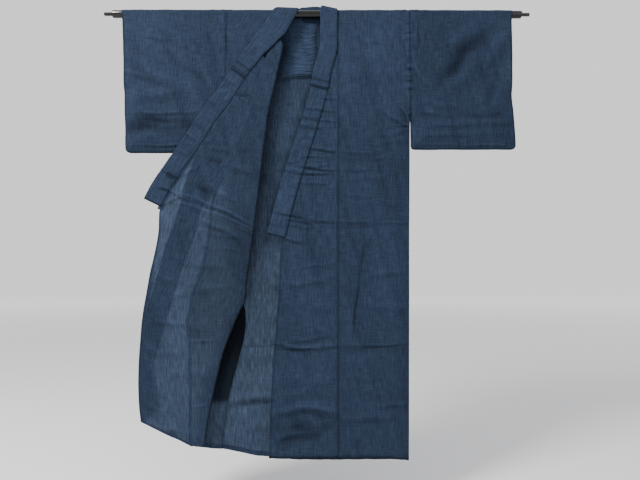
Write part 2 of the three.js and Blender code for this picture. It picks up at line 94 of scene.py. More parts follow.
def track(rows, column):
    """A smooth curve through a table's rows, read by its first column: the cubic whose slope at
    each row is that of the line from the row before it to the row after it."""
    table = np.array(rows, float)
    at, value = table[:, 0], table[:, column]
    order = np.arange(len(at))
    before, after = np.maximum(order - 1, 0), np.minimum(order + 1, len(at) - 1)
    slope = (value[after] - value[before]) / (at[after] - at[before])

    def curve(x):
        x = np.clip(x, at[0], at[-1])
        i = np.clip(np.searchsorted(at, x), 1, len(at) - 1)
        span = at[i] - at[i - 1]
        s = (x - at[i - 1]) / span
        ends = value[i - 1] * (2 * s**3 - 3 * s**2 + 1) + value[i] * (3 * s**2 - 2 * s**3)
        return ends + span * (slope[i - 1] * (s**3 - 2 * s**2 + s) + slope[i] * (s**3 - s**2))

    return curve


def from_ends(count):
    """0 1 2 ... 2 1 0: how many places each of count places is from the nearer end."""
    return np.minimum(np.arange(count), np.arange(count)[::-1])


def spread(a, b, step):
    """Evenly spaced numbers from a to b, about step apart."""
    return np.linspace(a, b, max(2, int(round(abs(b - a) / step)) + 1))


def points(*columns):
    """Arrays, such as x, y and z, as one array of points, spread over a common grid."""
    return np.stack(np.broadcast_arrays(*columns), axis=-1).astype(float)


def normals(grid):
    """The direction square to a grid at each of its points."""
    across = np.cross(np.gradient(grid, axis=0), np.gradient(grid, axis=1))
    return across / np.maximum(np.linalg.norm(across, axis=-1, keepdims=True), 1e-9)


def run_along(grid, axis):
    """Distance along a grid's rows or columns, counted from its first point."""
    steps = np.linalg.norm(np.diff(grid, axis=axis), axis=-1)
    start = np.zeros_like(np.take(steps, [0], axis=axis))
    return np.concatenate([start, np.cumsum(steps, axis=axis)], axis=axis)


# ---------- how far the front and back hang apart ----------
HALF_GAP = [
    # depth below the axis, half gap
    (0, ON_ROD),
    (60, ON_ROD),
    (300, 11.5),
    (700, 9.5),
    (1100, 10.5),
    (1470, 12),
]
open_gap = track(HALF_GAP, 1)
CLOSED_GAP = (SEAM + CLOTH) / 2


def half_gap(depth, distance):
    """Half the gap at a distance from the nearest sewn edge: the square root of a smooth step,
    so that the layers part steeply at the seam."""
    return lerp(CLOSED_GAP, open_gap(depth), np.sqrt(smooth(distance, 0, PINCH)))


def side_closed(depth):
    """The side seam of the closed half: straight down to TAPER_FROM, then slanting inwards."""
    return lerp(SHOULDER, SIDE_AT_HEM, np.maximum(depth - TAPER_FROM, 0) / TAPER_OVER)


SIDE_OPEN = [
    # depth, distance from the centre back, how far the back bellies out behind
    (0, SHOULDER, 0),
    (380, 306, 0),
    (700, 297, 4),
    (900, 284, 12),
    (960, 258, 20),
    (1000, 240, 25),
    (1080, 237, 32),
    (1180, 259, 26),
    (1300, 289, 12),
    (1470, 309, 4),
]
side_open = track(SIDE_OPEN, 1)
belly = track(SIDE_OPEN, 2)


def to_side_seam(side, x, depth):
    """Distance to the side seam, which starts at the armhole's lower end."""
    across = side(depth) - np.abs(x)
    return np.where(depth > ARMHOLE, across, np.hypot(across, ARMHOLE - depth))


# ---------- body strips ----------
def back_neck(depth):
    """Half the width of the back neckline: an ellipse that is closed at NECK_DROP."""
    inside = np.sqrt(np.clip(1 - (depth / (NECK_DROP + 0.5)) ** 2, 0, 1))
    return np.where(depth >= NECK_DROP, SEAM / 2, NECK_HALF * inside)


def okumi_seam_closed(depth):
    """The closed half's seam between body and overlap panel: a straight, slightly slanted line."""
    return lerp(NECK_HALF, OKUMI_SEAM_AT_HEM, depth / FRONT_LENGTH)


def back_wall(half, side, side_hem, bulge, depth, share):
    """The back at depths (down the rows) and shares of the way from the centre to the side. Its
    hem lies at BACK_HEM in the middle and curves up to side_hem at the side."""
    x = lerp(back_neck(depth), side(depth), share)
    y = half_gap(depth, to_side_seam(side, x, depth)) + bulge(depth) * np.sin(np.pi * share) ** 2
    hem = lerp(BACK_HEM, side_hem, share**SIDE_RISE_POWER)
    return points(half * x, y, -depth * hem / BACK_LENGTH)


SLACK = [
    # x, width and height of the little lifts where the cloth doesn't lie tight on the rod
    (-596, 34, 0.9), (-512, 26, 1.3), (-436, 40, 0.7), (-352, 16, 1.5), (-318, 9, 2.0),
    (-296, 10, 1.2), (-222, 40, 0.8), (-140, 22, 0.9), (118, 26, 0.8), (196, 38, 1.0),
    (268, 14, 1.4), (292, 8, 2.6), (318, 8, 2.2), (334, 7, 2.8), (360, 14, 1.2), (432, 44, 0.9),
    (540, 30, 0.7), (610, 22, 1.0),
]


def over_rod(half, inner, outer, angle, share):
    """Cloth that lies on the rod: a circle about the axis, by the angle from straight up, with
    little lifts that fade away down both sides."""
    turn = np.radians(angle)
    x = half * lerp(inner, outer, share)
    lift = sum(height * bell(x - at, width) for at, width, height in SLACK)
    radius = ON_ROD + lift * np.clip(np.cos(turn), 0, 1) ** 1.5
    return points(x, radius * np.sin(turn), radius * np.cos(turn))


def closed_hem(x):
    """Depth of the closed front's hem, which drops a little towards the side seam."""
    return FRONT_LENGTH + FRONT_CORNER_DROP * smooth(x, 200, SIDE_AT_HEM)


ROW_STEP = 3.6
FINE_FROM, FINE_STEP = 57, 3  # near the rod
BACK_DEPTHS = np.r_[
    spread(BACK_LENGTH, FINE_FROM + FINE_STEP, ROW_STEP), spread(FINE_FROM, 0, FINE_STEP)
][:, None]
FRONT_DEPTHS = BACK_DEPTHS[::-1]
OVER_ANGLES = spread(80, -80, 10)[:, None]


def body_closed():
    """The closed half's strip, from the back hem over the rod to the front hem."""
    share = (1 - (1 - spread(0, 1, 1 / 56)) ** 1.15)[None, :]
    back = back_wall(1, side_closed, BACK_HEM, lambda depth: 0, BACK_DEPTHS, share)
    top = over_rod(1, NECK_HALF, SHOULDER, OVER_ANGLES, share)
    depth = FRONT_DEPTHS * FRONT_LENGTH / BACK_LENGTH
    x = lerp(okumi_seam_closed(depth), side_closed(depth), share)
    y = -half_gap(depth, to_side_seam(side_closed, x, depth))
    front = points(x, y, -depth * closed_hem(x) / FRONT_LENGTH)
    return np.concatenate([back, top, front])


# The opened front. Each row runs from the side seam to a pleat, back to the fold, round it,
# and on over itself to the overlap panel's seam, which lies higher than the fold.
OPEN_FRONT = [
    # depth, pleat, fold, seam x, seam depth, pleat depth from 0 to 1
    (0, 170, 78, 67.5, 0, 0),
    (40, 175, 95, 88, 36, 0),
    (78, 180, 102, 108, 78, 0),
    (136, 190, 116, 152, 128, 0),
    (187, 200, 127, 174, 163, 0),
    (255, 205, 141, 202, 232, 0),
    (355, 215, 163, 228, 326, 0),
    (440, 220, 173, 252, 416, 0),
    (521, 225, 183, 284, 497, 0),
    (640, 232, 196, 328, 598, 0),
    (760, 238, 210, 346, 714, 0),
    (880, 246, 227, 364, 838, 0),
    (960, 256, 235, 390, 918, 0.05),
    (990, 268, 249, 400, 948, 0.25),
    (1020, 284, 262, 406, 982, 0.5),
    (1060, 304, 278, 412, 1028, 0.8),
    (1120, 328, 301, 406, 1090, 1),
    (1200, 356, 320, 402, 1180, 1),
    (1280, 376, 335, 400, 1264, 1),
    (1360, 384, 348, 399, 1344, 1),
    (1456, 388, 359, 398, 1408, 1),
]
pleat_at, fold_at, seam_at, seam_depth, pleating_at = (track(OPEN_FRONT, k) for k in range(1, 6))
MIRROR = np.array([-1, 1, 1])
UNDER = -6
MIDDLE = -14
OVER = MIDDLE - 2 * FOLD_ROUND
PLEAT_NOSE = 4
OPEN_HEM_RISE = 19
HEM_LIFTS_FROM = 1150
FOLDS_FROM = (55, 130)
FLAT_SHARE = (0.5, 0.8, 0.88)
HIDDEN, RETURNING, ROUND, TURNED = range(4)  # the stretches of a row
OPEN_STRETCHES = (24, 14, 7, 38)  # and how many columns each has


def open_front(depth, kind, share):
    """Points of the opened front. kind says which stretch of a row they lie on: HIDDEN from the
    side seam to the pleat, RETURNING from there to the fold, ROUND the fold in a half circle, or
    TURNED over, straight to the panel's seam. share is how far along that stretch. Near the
    shoulder the row is flat, and between the depths FOLDS_FROM it changes into the folded row."""
    lifted = BACK_RISE_OPEN * depth / BACK_LENGTH
    side, pleat, fold = side_open(depth), pleat_at(depth - lifted), fold_at(depth - lifted)
    pleating = np.clip(pleating_at(depth - lifted), 0, 1)
    seam_x, seam_z = seam_at(depth), -seam_depth(depth)
    under = lerp(MIDDLE, UNDER, pleating)
    radius = np.minimum(FOLD_ROUND, FLAT_FOLD + np.abs(seam_x - fold) / 5)
    over = MIDDLE - 2 * radius

    def rise(part):
        return lifted + OPEN_HEM_RISE * part * smooth(depth, HEM_LIFTS_FROM, FRONT_LENGTH)

    hidden_x = lerp(side, pleat, share)
    spreading = -half_gap(depth, to_side_seam(side_open, hidden_x, depth))
    hidden_y = lerp(spreading, np.minimum(under * np.sqrt(share), -CLOSED_GAP), pleating)
    hidden = points(hidden_x, hidden_y, -depth + rise(share / 2))

    nose = smooth(share, 0.25, 0)
    back_x = lerp(pleat, fold + radius, share) + PLEAT_NOSE * pleating * nose
    returning_y = lerp(MIDDLE, (under + MIDDLE) / 2, nose * pleating)
    returning = points(back_x, returning_y, -depth + rise((1 + share) / 2))

    turn = lerp(-np.pi / 2, np.pi / 2, share)
    round_x = fold + radius - radius * np.cos(turn)
    rounding = points(round_x, (MIDDLE + over) / 2 - radius * np.sin(turn), -depth + rise(1))

    start = points(fold + radius, over, -depth + rise(1))
    end = points(seam_x, np.full_like(over, OVER), seam_z)
    turned = lerp(start, end, share[..., None])

    folded = np.choose(kind[..., None], [hidden, returning, rounding, turned])
    a, b, c = FLAT_SHARE
    shares = [a * share, lerp(a, b, share), lerp(b, c, share), lerp(c, 1, share)]
    flat_share = np.choose(kind, shares)
    flat_x = lerp(side, seam_x, flat_share)
    flat_y = -half_gap(depth, to_side_seam(side_open, flat_x, depth))
    flat = points(flat_x, flat_y, -depth + lifted * (1 - flat_share))
    laid = lerp(flat, folded, smooth(depth, *FOLDS_FROM)[..., None])
    return laid * MIRROR


def open_columns():
    """kind and share of every column of the opened front."""
    kinds = [np.full(n, k) for k, n in enumerate(OPEN_STRETCHES)]
    shares = [(np.arange(n) + (k > 0)) / (n - (k == 0)) for k, n in enumerate(OPEN_STRETCHES)]
    return np.concatenate(kinds), np.concatenate(shares)


def body_opened():
    """The opened half's strip, from the back hem over the rod to the front hem."""
    front = open_front(*np.broadcast_arrays(FRONT_DEPTHS, *open_columns()))
    across = np.clip((-front[0, :, 0] - NECK_HALF) / (SHOULDER - NECK_HALF), 0, 1)[None, :]
    back = back_wall(-1, side_open, BACK_LENGTH - BACK_RISE_OPEN, belly, BACK_DEPTHS, across)
    top = over_rod(-1, NECK_HALF, SHOULDER, OVER_ANGLES, across)
    return np.concatenate([back, top, front])


# ---------- overlap panels ----------
CLOSED_EDGE = [
    # depth, x of the collar seam and, below the collar's end, of the front edge
    (OKUMI_TOP, 61),
    (207, 44),
    (251, 36),
    (319, 19),
    (403, -6),
    (497, -36),
    (579, -62),
    (658, -83),
    (COLLAR_END, -109),
    (790, -121),
    (958, -130),
    (1116, -142),
    (1271, -152),
    (FRONT_LENGTH, -158),
]
closed_edge = track(CLOSED_EDGE, 1)


def okumi_closed(depth, share):
    """The closed side's overlap panel: level straight lines from the body's seam to the collar's
    seam and, below the collar's end, to the front edge."""
    x = lerp(okumi_seam_closed(depth) - SEAM, closed_edge(depth), share)
    return points(x, -open_gap(depth), -depth)


OPEN_EDGE = [
    # depth along the cloth, edge x, edge depth, turned under x, turned under rise
    (187, 182, 157, 0, 0),
    (255, 231, 221, 0, 0),
    (355, 281, 302, 0, 0),
    (440, 336, 379, 0, 0),
    (521, 385, 459, 0, 0),
    (640, 452, 560, 0, 0),
    (760, 508, 659, 0, 0),
    (820, 512, 738, 4, 0),
    (880, 521, 795, 5, 0),
    (960, 536, 878, 9, 1),
    (1010, 544, 930, 14, 2),
    (1060, 552, 985, 20, 4),
    (1120, 559, 1048, 30, 7),
    (1200, 563, 1140, 42, 12),
    (1280, 564, 1220, 50, 20),
    (1360, 560, 1285, 56, 30),
    (1456, 553, 1334, 61, 46),
]
edge_x, edge_depth, edge_under, edge_under_rise = (track(OPEN_EDGE, k) for k in range(1, 5))
EDGE_FORWARD = 2
TURN_GAP = 3


def okumi_opened(depth, share):
    """The opened side's overlap panel: at each depth along the cloth a straight line from the
    body's seam to the collar's seam or outer edge."""
    seam = points(seam_at(depth) + 2 * SEAM, OVER, -seam_depth(depth))
    edge = points(edge_x(depth), OVER - EDGE_FORWARD, -edge_depth(depth))
    return lerp(seam, edge, share[..., None]) * MIRROR


def okumi_flap(depth, turn):
    """The strip turned under at the outer edge: turn is 0 at the edge and 1 at its free end, and
    the first fifth goes round the fold."""
    edge = points(edge_x(depth), OVER - EDGE_FORWARD, -edge_depth(depth))
    under = np.maximum(edge_under(depth), 0)
    round_it = np.clip(turn / 0.2, 0, 1) * np.pi
    flat = np.clip((turn - 0.2) / 0.8, 0, 1)
    x = TURN_GAP * np.sin(round_it) * smooth(under, 0, 10) - flat * under
    y = TURN_GAP * (1 - np.cos(round_it))
    z = edge_under_rise(depth) * flat
    return (edge + points(x, y, z)) * MIRROR


# ---------- collar ----------
AROUND_ROD = 16.2
AROUND_BODY = 18
NECK_FRONT = [
    # angle, seam x, free x, free y, free z
    (-90, 65.8, 9, -16.8, 2),
    (-65, 65.6, 11, -15.5, 14),
    (-40, 65.4, 14, -11, 22),
    (-15, 65.2, 17, -4, 27),
    (15, 64.5, 19, 5, 30),
    (40, 63, 19, 12, 32),
    (65, 61, 17, 16.5, 33.5),
    (90, 58, 14, 18.4, 34.5),
]
NECK_BACK = [
    # seam edge x, y, z, free edge x, y, z
    (50, 17.4, -14, 9, 19, 35),
    (28, 17.6, -24.5, 1, 19.4, 36),
    (0, 17.6, -28, -9, 19.4, 36),
    (-28, 17.6, -24.5, -26, 19.4, 35),
    (-50, 17.4, -14, -44, 19.4, 33),
]
NECK_OPENED = [
    # angle, seam x, free x, free y, free z; the collar turns over here
    (90, -58, -53, 20, 33),
    (65, -61, -66, 23.5, 31),
    (52, -62, -77, 20, 28.5),
    (40, -63, -90, 13.5, 25),
    (15, -64.5, -104, 7, 22.5),
    (-15, -65.6, -120, -1.5, 21),
    (-40, -66.1, -132, -10, 18),
    (-65, -66.3, -142, -16.5, 12),
    (-90, -66.4, -150, -19.4, 2),
]
OPENED_FREE = [
    # depth along the opened front, seam edge's distance from the body's, its y, free x, y, z
    (40, 1, -18.6, -164, -20.4, -20),
    (78, -1.2, -22, -176, -22.4, -46),
    (105, -2.4, -26.4, -190, -25.8, -66),
    (136, -2, -28, -208, -27.6, -90),
]
CLOSED_COLLAR_ROWS = (759, 682.5, 606, 529.5, 453, 376.5, 300, 245, 210, 175, 145, 110, 60, 20)
OPENED_COLLAR_ROWS = (187, 220, 255, 305, 355, 440, 521, 580, 640, 700, 759)
NECK_STARTS = len(CLOSED_COLLAR_ROWS)
NECK_ENDS = NECK_STARTS + len(NECK_FRONT) + len(NECK_BACK) + len(NECK_OPENED)
ON_CLOSED = 20  # up to here the collar's rows go with the closed front
COVERED = (6.65, 42.2)  # rows of the collar that the second layer covers
COLLAR_STEP = 4
COLLAR_REACH, OVER_COLLAR_REACH = 0.97, 1.0  # share of the strip's width that each fills
COLLAR_OUT, OVER_COLLAR_OUT = 1.0, 2.3  # how far their faces stand from the strip's middle
TUBE_COLUMNS = 15


def along_edge(edge, depths, outward, forward):
    """Rows of the collar beside a sewn edge: the collar stands square to it."""
    rows = []
    for i, depth in enumerate(depths):
        ahead = edge(depths[min(i + 1, len(depths) - 1)])
        behind = edge(depths[max(i - 1, 0)])
        along = (ahead - behind) * np.array([1, 0, 1])
        along /= np.linalg.norm(along)
        square = np.array([along[2], 0, -along[0]]) * outward
        width = lerp(COLLAR_WIDTH_TOP, COLLAR_WIDTH_END, depth / COLLAR_END)
        seam = edge(depth) + square * 2.5 * SEAM
        rows.append((seam, seam + square * width + np.array([0, -forward, 0])))
    return rows


def collar_rows():
    """(seam edge, free edge) of each row, from the closed front over the neck to the opened."""

    def closed(depth):
        x = okumi_seam_closed(depth) - 0.5 if depth < OKUMI_TOP else closed_edge(depth)
        return np.array([x, -open_gap(depth) - 1, -depth])

    def opened(depth):
        return np.array([-edge_x(depth), OVER - EDGE_FORWARD, -edge_depth(depth)])

    def over(radius, row):
        angle, seam_x, x, y, z = row
        turn = math.radians(angle)
        seam = np.array([seam_x, radius * math.sin(turn), radius * math.cos(turn)])
        return seam, np.array([x, y, z])

    def beside(row):
        depth, apart, seam_y, x, y, z = row
        return np.array([-seam_at(depth) + apart, seam_y, -seam_depth(depth)]), np.array([x, y, z])

    return [
        *along_edge(closed, CLOSED_COLLAR_ROWS, -1, 1),
        *[over(AROUND_ROD, row) for row in NECK_FRONT],
        *[(np.array(row[:3], float), np.array(row[3:], float)) for row in NECK_BACK],
        *[over(AROUND_BODY, row) for row in NECK_OPENED],
        *[beside(row) for row in OPENED_FREE],
        *along_edge(opened, OPENED_COLLAR_ROWS, 1, 1.5),
    ]


def through(rows, step):
    """A smooth line of rows through the given ones: a Catmull-Rom curve for each edge, with a
    row about every step millimetres."""
    ends = np.array(rows, float)
    middle = ends.mean(axis=1)
    gone = np.r_[0, np.cumsum(np.linalg.norm(np.diff(middle, axis=0), axis=-1))]
    at = spread(0, gone[-1], step)
    columns = [track(np.c_[gone, ends[:, e, k]], 1)(at) for e in (0, 1) for k in range(3)]
    return np.stack(columns, axis=-1).reshape(len(at), 2, 3), gone, at


def collar_middle(step):
    """The collar's middle surface as rows of (seam edge, free edge), and for each of those rows
    the number of the table row it lies at, with fractions."""
    rows, gone, at = through(collar_rows(), step)
    return rows, np.interp(at, gone, np.arange(len(gone)))


def folded_round(rows, width_share, out, ends_round):
    """A closed flat tube round a strip: from the seam edge over one face to the free edge, round
    it, and back over the other face. out is how far the faces stand from the strip's middle."""
    seam, free = rows[:, 0], rows[:, 1]
    shares = np.linspace(0, width_share, TUBE_COLUMNS)
    middle = lerp(seam[:, None], free[:, None], shares[None, :, None])
    square = normals(middle)
    turn = np.radians(np.linspace(-90, 90, 7))[1:-1]
    tip, tip_square = middle[:, -1:], square[:, -1:]
    outward = (free - seam) / np.linalg.norm(free - seam, axis=-1, keepdims=True)
    thick = out * ends_round[:, None, None]
    around = [
        middle - square * thick,
        tip + tip_square * np.sin(turn)[None, :, None] * thick
        + outward[:, None] * np.cos(turn)[None, :, None] * thick,
        (middle + square * thick)[:, ::-1],
    ]
    return np.concatenate(around, axis=1)


# ---------- shoulder patch and sleeves ----------
def patch_wall(x, share):
    """The shoulder patch, from the neckline down: it lies on the back, its crepe runs crosswise,
    and its free lower edge, which slants, stands off a little. Its ripples are three sines of a
    depth that itself is bent by two sines of x."""
    inside = np.sqrt(np.clip(1 - (x / (NECK_HALF + 1)) ** 2, 0, 1))
    top = np.maximum(PATCH_TOP, (NECK_DROP + 1) * inside)
    depth = lerp(top, PATCH_BOTTOM + PATCH_SLANT * smooth(np.abs(x + 10), 50, 150), share)
    near = np.minimum(to_side_seam(side_closed, x, depth), PINCH)
    hanging = PATCH_STANDS * smooth(share, 0.55, 1)
    bent = depth + 3 * np.sin(x / 31) + 2 * np.sin(x / 13 + 1)
    ripples = 0.8 * np.sin(bent * 0.86) + 0.5 * np.sin(bent * 0.53 + x / 40)
    ripples = (ripples + 0.3 * np.sin(bent * 1.31)) * smooth(share, 0, 0.15)
    return points(x, half_gap(depth, near) - 1.3 - hanging + ripples, -depth)


SLEEVE_EDGE = {
    # depth, x of the outer edge
    "left": [(0, 656), (30, 652), (285, 649), (336, 653), (420, 657), (470, 657)],
    "right": [(0, 656), (30, 652), (131, 646), (315, 642), (400, 638), (480, 634)],
}
SLEEVE_BOTTOM = {"left": 466, "right": 476}
SLEEVE_CORNER = 16
INNER_CORNER = 12
SLEEVE_INNER = SHOULDER + SEAM + 0.3
SLEEVE_STEP = 4.5
SLEEVE_FINE, SLEEVE_FINE_STEP = 40, 2.5  # near the bottom


def sleeve_wall(kind):
    """A sleeve: its front from the bottom up, over the rod, and its back down again. Its lower
    corners are quarter circles. The layers part with the distance from the nearest of the bottom
    seam, the sewn part of the cuff and the sewn part of the inner edge."""
    half = 1 if kind == "left" else -1
    edge, bottom = track(SLEEVE_EDGE[kind], 1), SLEEVE_BOTTOM[kind]
    share = (1 - np.cos(np.pi * spread(0, 1, 1 / 64))) / 2
    share = lerp(share, spread(0, 1, 1 / 64), 0.7)[None, :]
    fine = spread(bottom, bottom - SLEEVE_FINE, SLEEVE_FINE_STEP)
    depth = np.r_[fine, spread(bottom - SLEEVE_FINE - 4, 0, SLEEVE_STEP)][:, None]
    corner = np.clip(depth - (bottom - SLEEVE_CORNER), 0, SLEEVE_CORNER)
    outer = edge(depth) - (SLEEVE_CORNER - np.sqrt(SLEEVE_CORNER**2 - corner**2))
    inner_corner = np.clip(depth - (bottom - INNER_CORNER), 0, INNER_CORNER)
    inner = SLEEVE_INNER + INNER_CORNER - np.sqrt(INNER_CORNER**2 - 0.98 * inner_corner**2)
    x = lerp(inner, outer, share)
    to_cuff = np.hypot(outer - x, np.maximum(CUFF_OPENING - depth, 0))
    to_body = np.hypot(x - SLEEVE_INNER, np.maximum(ARMHOLE - depth, 0))
    gap = half_gap(depth, np.minimum(np.minimum(to_cuff, to_body), bottom - depth))
    front = points(half * x, -gap, -depth)
    back = points(half * x, gap, -depth)
    over = over_rod(half, SLEEVE_INNER, edge(0), -OVER_ANGLES, share)
    return np.concatenate([front, over, back[::-1]])


# ---------- from grids to pieces ----------
def cloth_coordinates(grid):
    """Metres across and along the weave: the mean run along the rows and along the columns."""
    u = run_along(grid, 1)
    v = run_along(grid, 0)
    v = np.broadcast_to(v[:, [v.shape[1] // 2]], v.shape)
    return np.stack([u, v], axis=-1) * MM


def add_object(name, data):
    """A new object of the scene that shows a mesh, a lamp or what a camera sees."""
    made = bpy.data.objects.new(name, data)
    bpy.context.scene.collection.objects.link(made)
    return made


def piece(name, layers, material, replaces):
    """One mesh from several layers, each (grid, cloth coordinates, shade, sheer, face): a quad
    for every cell of a grid. shade and sheer carry painted shade and painted light: how bright the
    cloth is there and how much light comes through it, 1 where nothing changes it, and face is
    the side, +Y or -Y, that the outside of the grid's first rows looks to."""
    parts, faces, first = [], [], 0
    for grid, uv, shade, sheer, face in layers:
        corner = first + np.arange(grid[..., 0].size).reshape(grid.shape[:2])
        quads = [corner[:-1, :-1], corner[:-1, 1:], corner[1:, 1:], corner[1:, :-1]]
        outside = -normals(grid)[:3, :, 1].mean() * face >= 0
        faces.append(np.stack(quads if outside else quads[::-1], axis=-1).reshape(-1, 4))
        columns = points(*np.moveaxis(grid * MM, -1, 0), *np.moveaxis(uv, -1, 0), shade, sheer)
        parts.append(columns.reshape(-1, 7))
        first += corner.size
    parts, faces = np.concatenate(parts).astype(np.float32), np.concatenate(faces)
    mesh = bpy.data.meshes.new(name)
    mesh.vertices.add(len(parts))
    mesh.vertices.foreach_set("co", parts[:, :3].ravel())
    mesh.loops.add(faces.size)
    mesh.loops.foreach_set("vertex_index", faces.astype(np.int32).ravel())
    mesh.polygons.add(len(faces))
    mesh.polygons.foreach_set("loop_start", np.arange(0, faces.size, 4, dtype=np.int32))
    mesh.update(calc_edges=True)
    mesh.polygons.foreach_set("use_smooth", np.ones(len(faces), bool))
    uv_map = mesh.uv_layers.new(name="cloth")
    uv_map.data.foreach_set("uv", parts[faces.ravel(), 3:5].ravel())
    for label, column in (("shade", 5), ("sheer", 6)):
        mesh.attributes.new(label, "FLOAT", "POINT").data.foreach_set("value", parts[:, column])
    mesh.materials.append(material)
    mesh.validate()
    made = add_object(name, mesh)
    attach(made, "root")
    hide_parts(*replaces)


# ---------- folds and creases ----------
def creases(table, x, z):
    """How far the cloth stands out, and how much painted shade darkens its hollows: for each row of
    the table a soft ridge with a shallower trough beside it, both bell curves of the distance from
    a bowed line, fading to its ends. A row's last number, where given, says how much painted
    highlight its ridge gets, or how much painted shade where the number is negative; its trough
    is then hardly darker."""
    height_sum, dark_sum = np.zeros(x.shape), np.zeros(x.shape)
    for x0, z0, x1, z1, bow, width, height, *painted_ridge_light in table:
        length = math.hypot(x1 - x0, z1 - z0)
        along = np.array([x1 - x0, z1 - z0]) / length
        t = ((x - x0) * along[0] + (z - z0) * along[1]) / length
        fading = np.clip(4 * t * (1 - t), 0, 1)
        uneven = bow * fading + 0.35 * width * np.sin(t * length / 23 + bow) * fading
        across = (x - x0) * along[1] - (z - z0) * along[0] - uneven
        across *= np.sign(along[0] + 1e-6)
        ridge = bell(across, width)
        trough = bell(across - 1.7 * width, 1.1 * width)
        strength = np.sqrt(fading) * (0.75 + 0.25 * np.sin(t * length / 41 + 2 * bow))
        height_sum += CREASE_HEIGHT * height * strength * (ridge - 0.7 * trough)
        sharp = CREASE_DARK * strength * min(abs(height) / 1.5, 1.6) * min(14 / width, 1)
        # painted highlight on the ridge where the row gives one, or painted shade where it is
        # negative
        if painted_ridge_light:
            dark_sum += sharp * (0.2 * trough - painted_ridge_light[0] * ridge)
        else:
            dark_sum += sharp * (trough - 0.6 * ridge if height > 0 else ridge - 0.4 * trough)
    return height_sum, 1 - np.clip(dark_sum, -0.35, 0.6)


def waver(x, z, seed, across, along):
    """Slow unevenness of hanging cloth: a sum of waves, mostly running down the cloth."""
    pick = np.random.default_rng(seed)
    total = np.zeros(np.broadcast(x, z).shape)
    for size in (1.0, 0.8, 0.6, 0.45, 0.33):
        turn, start = pick.uniform(-0.5, 0.5), pick.uniform(0, 2 * np.pi)
        kx = 2 * np.pi / (across * size * pick.uniform(0.8, 1.3))
        kz = 2 * np.pi / (along * size * pick.uniform(0.7, 1.4))
        total += size**1.6 * np.sin(kx * x + (kz + turn * kx * 0.15) * z + start)
    return total / 1.6


def puckers(x, z, at, seed):
    """The gathered look of an armhole seam: short uneven waves down it that fade away sideways."""
    pick = np.random.default_rng(seed)
    total = 0
    for wave in (31, 21, 14.5, 10):
        turn = pick.uniform(0, 2 * np.pi)
        bent = 1.6 * np.sin(z / 53 + turn)
        total = total + wave / 26 * np.sin(2 * np.pi * z / wave + turn + bent)
    total = total * (0.6 + 0.4 * np.sin(z / 29 + seed))
    near = bell(x - at, 12)
    return 0.75 * total * near * smooth(-z, 8, 40) * smooth(z, -ARMHOLE - 25, -ARMHOLE + 60)


OFF_ROD = (12, 90)  # depths between which the waves set in
SWAY = 1.8
OWN_WAVES = 1.3
CREASE_HEIGHT = 1.7
# how strong the painted shade and painted highlight of the creases are
CREASE_DARK = 0.3
# seeds of the waves: what hangs together shares one
SWAYING, CLOSED_WAVES, BACK_WAVES, OPENED_WAVES, RIGHT_SLEEVE_WAVES = 1, 11, 12, 13, 14
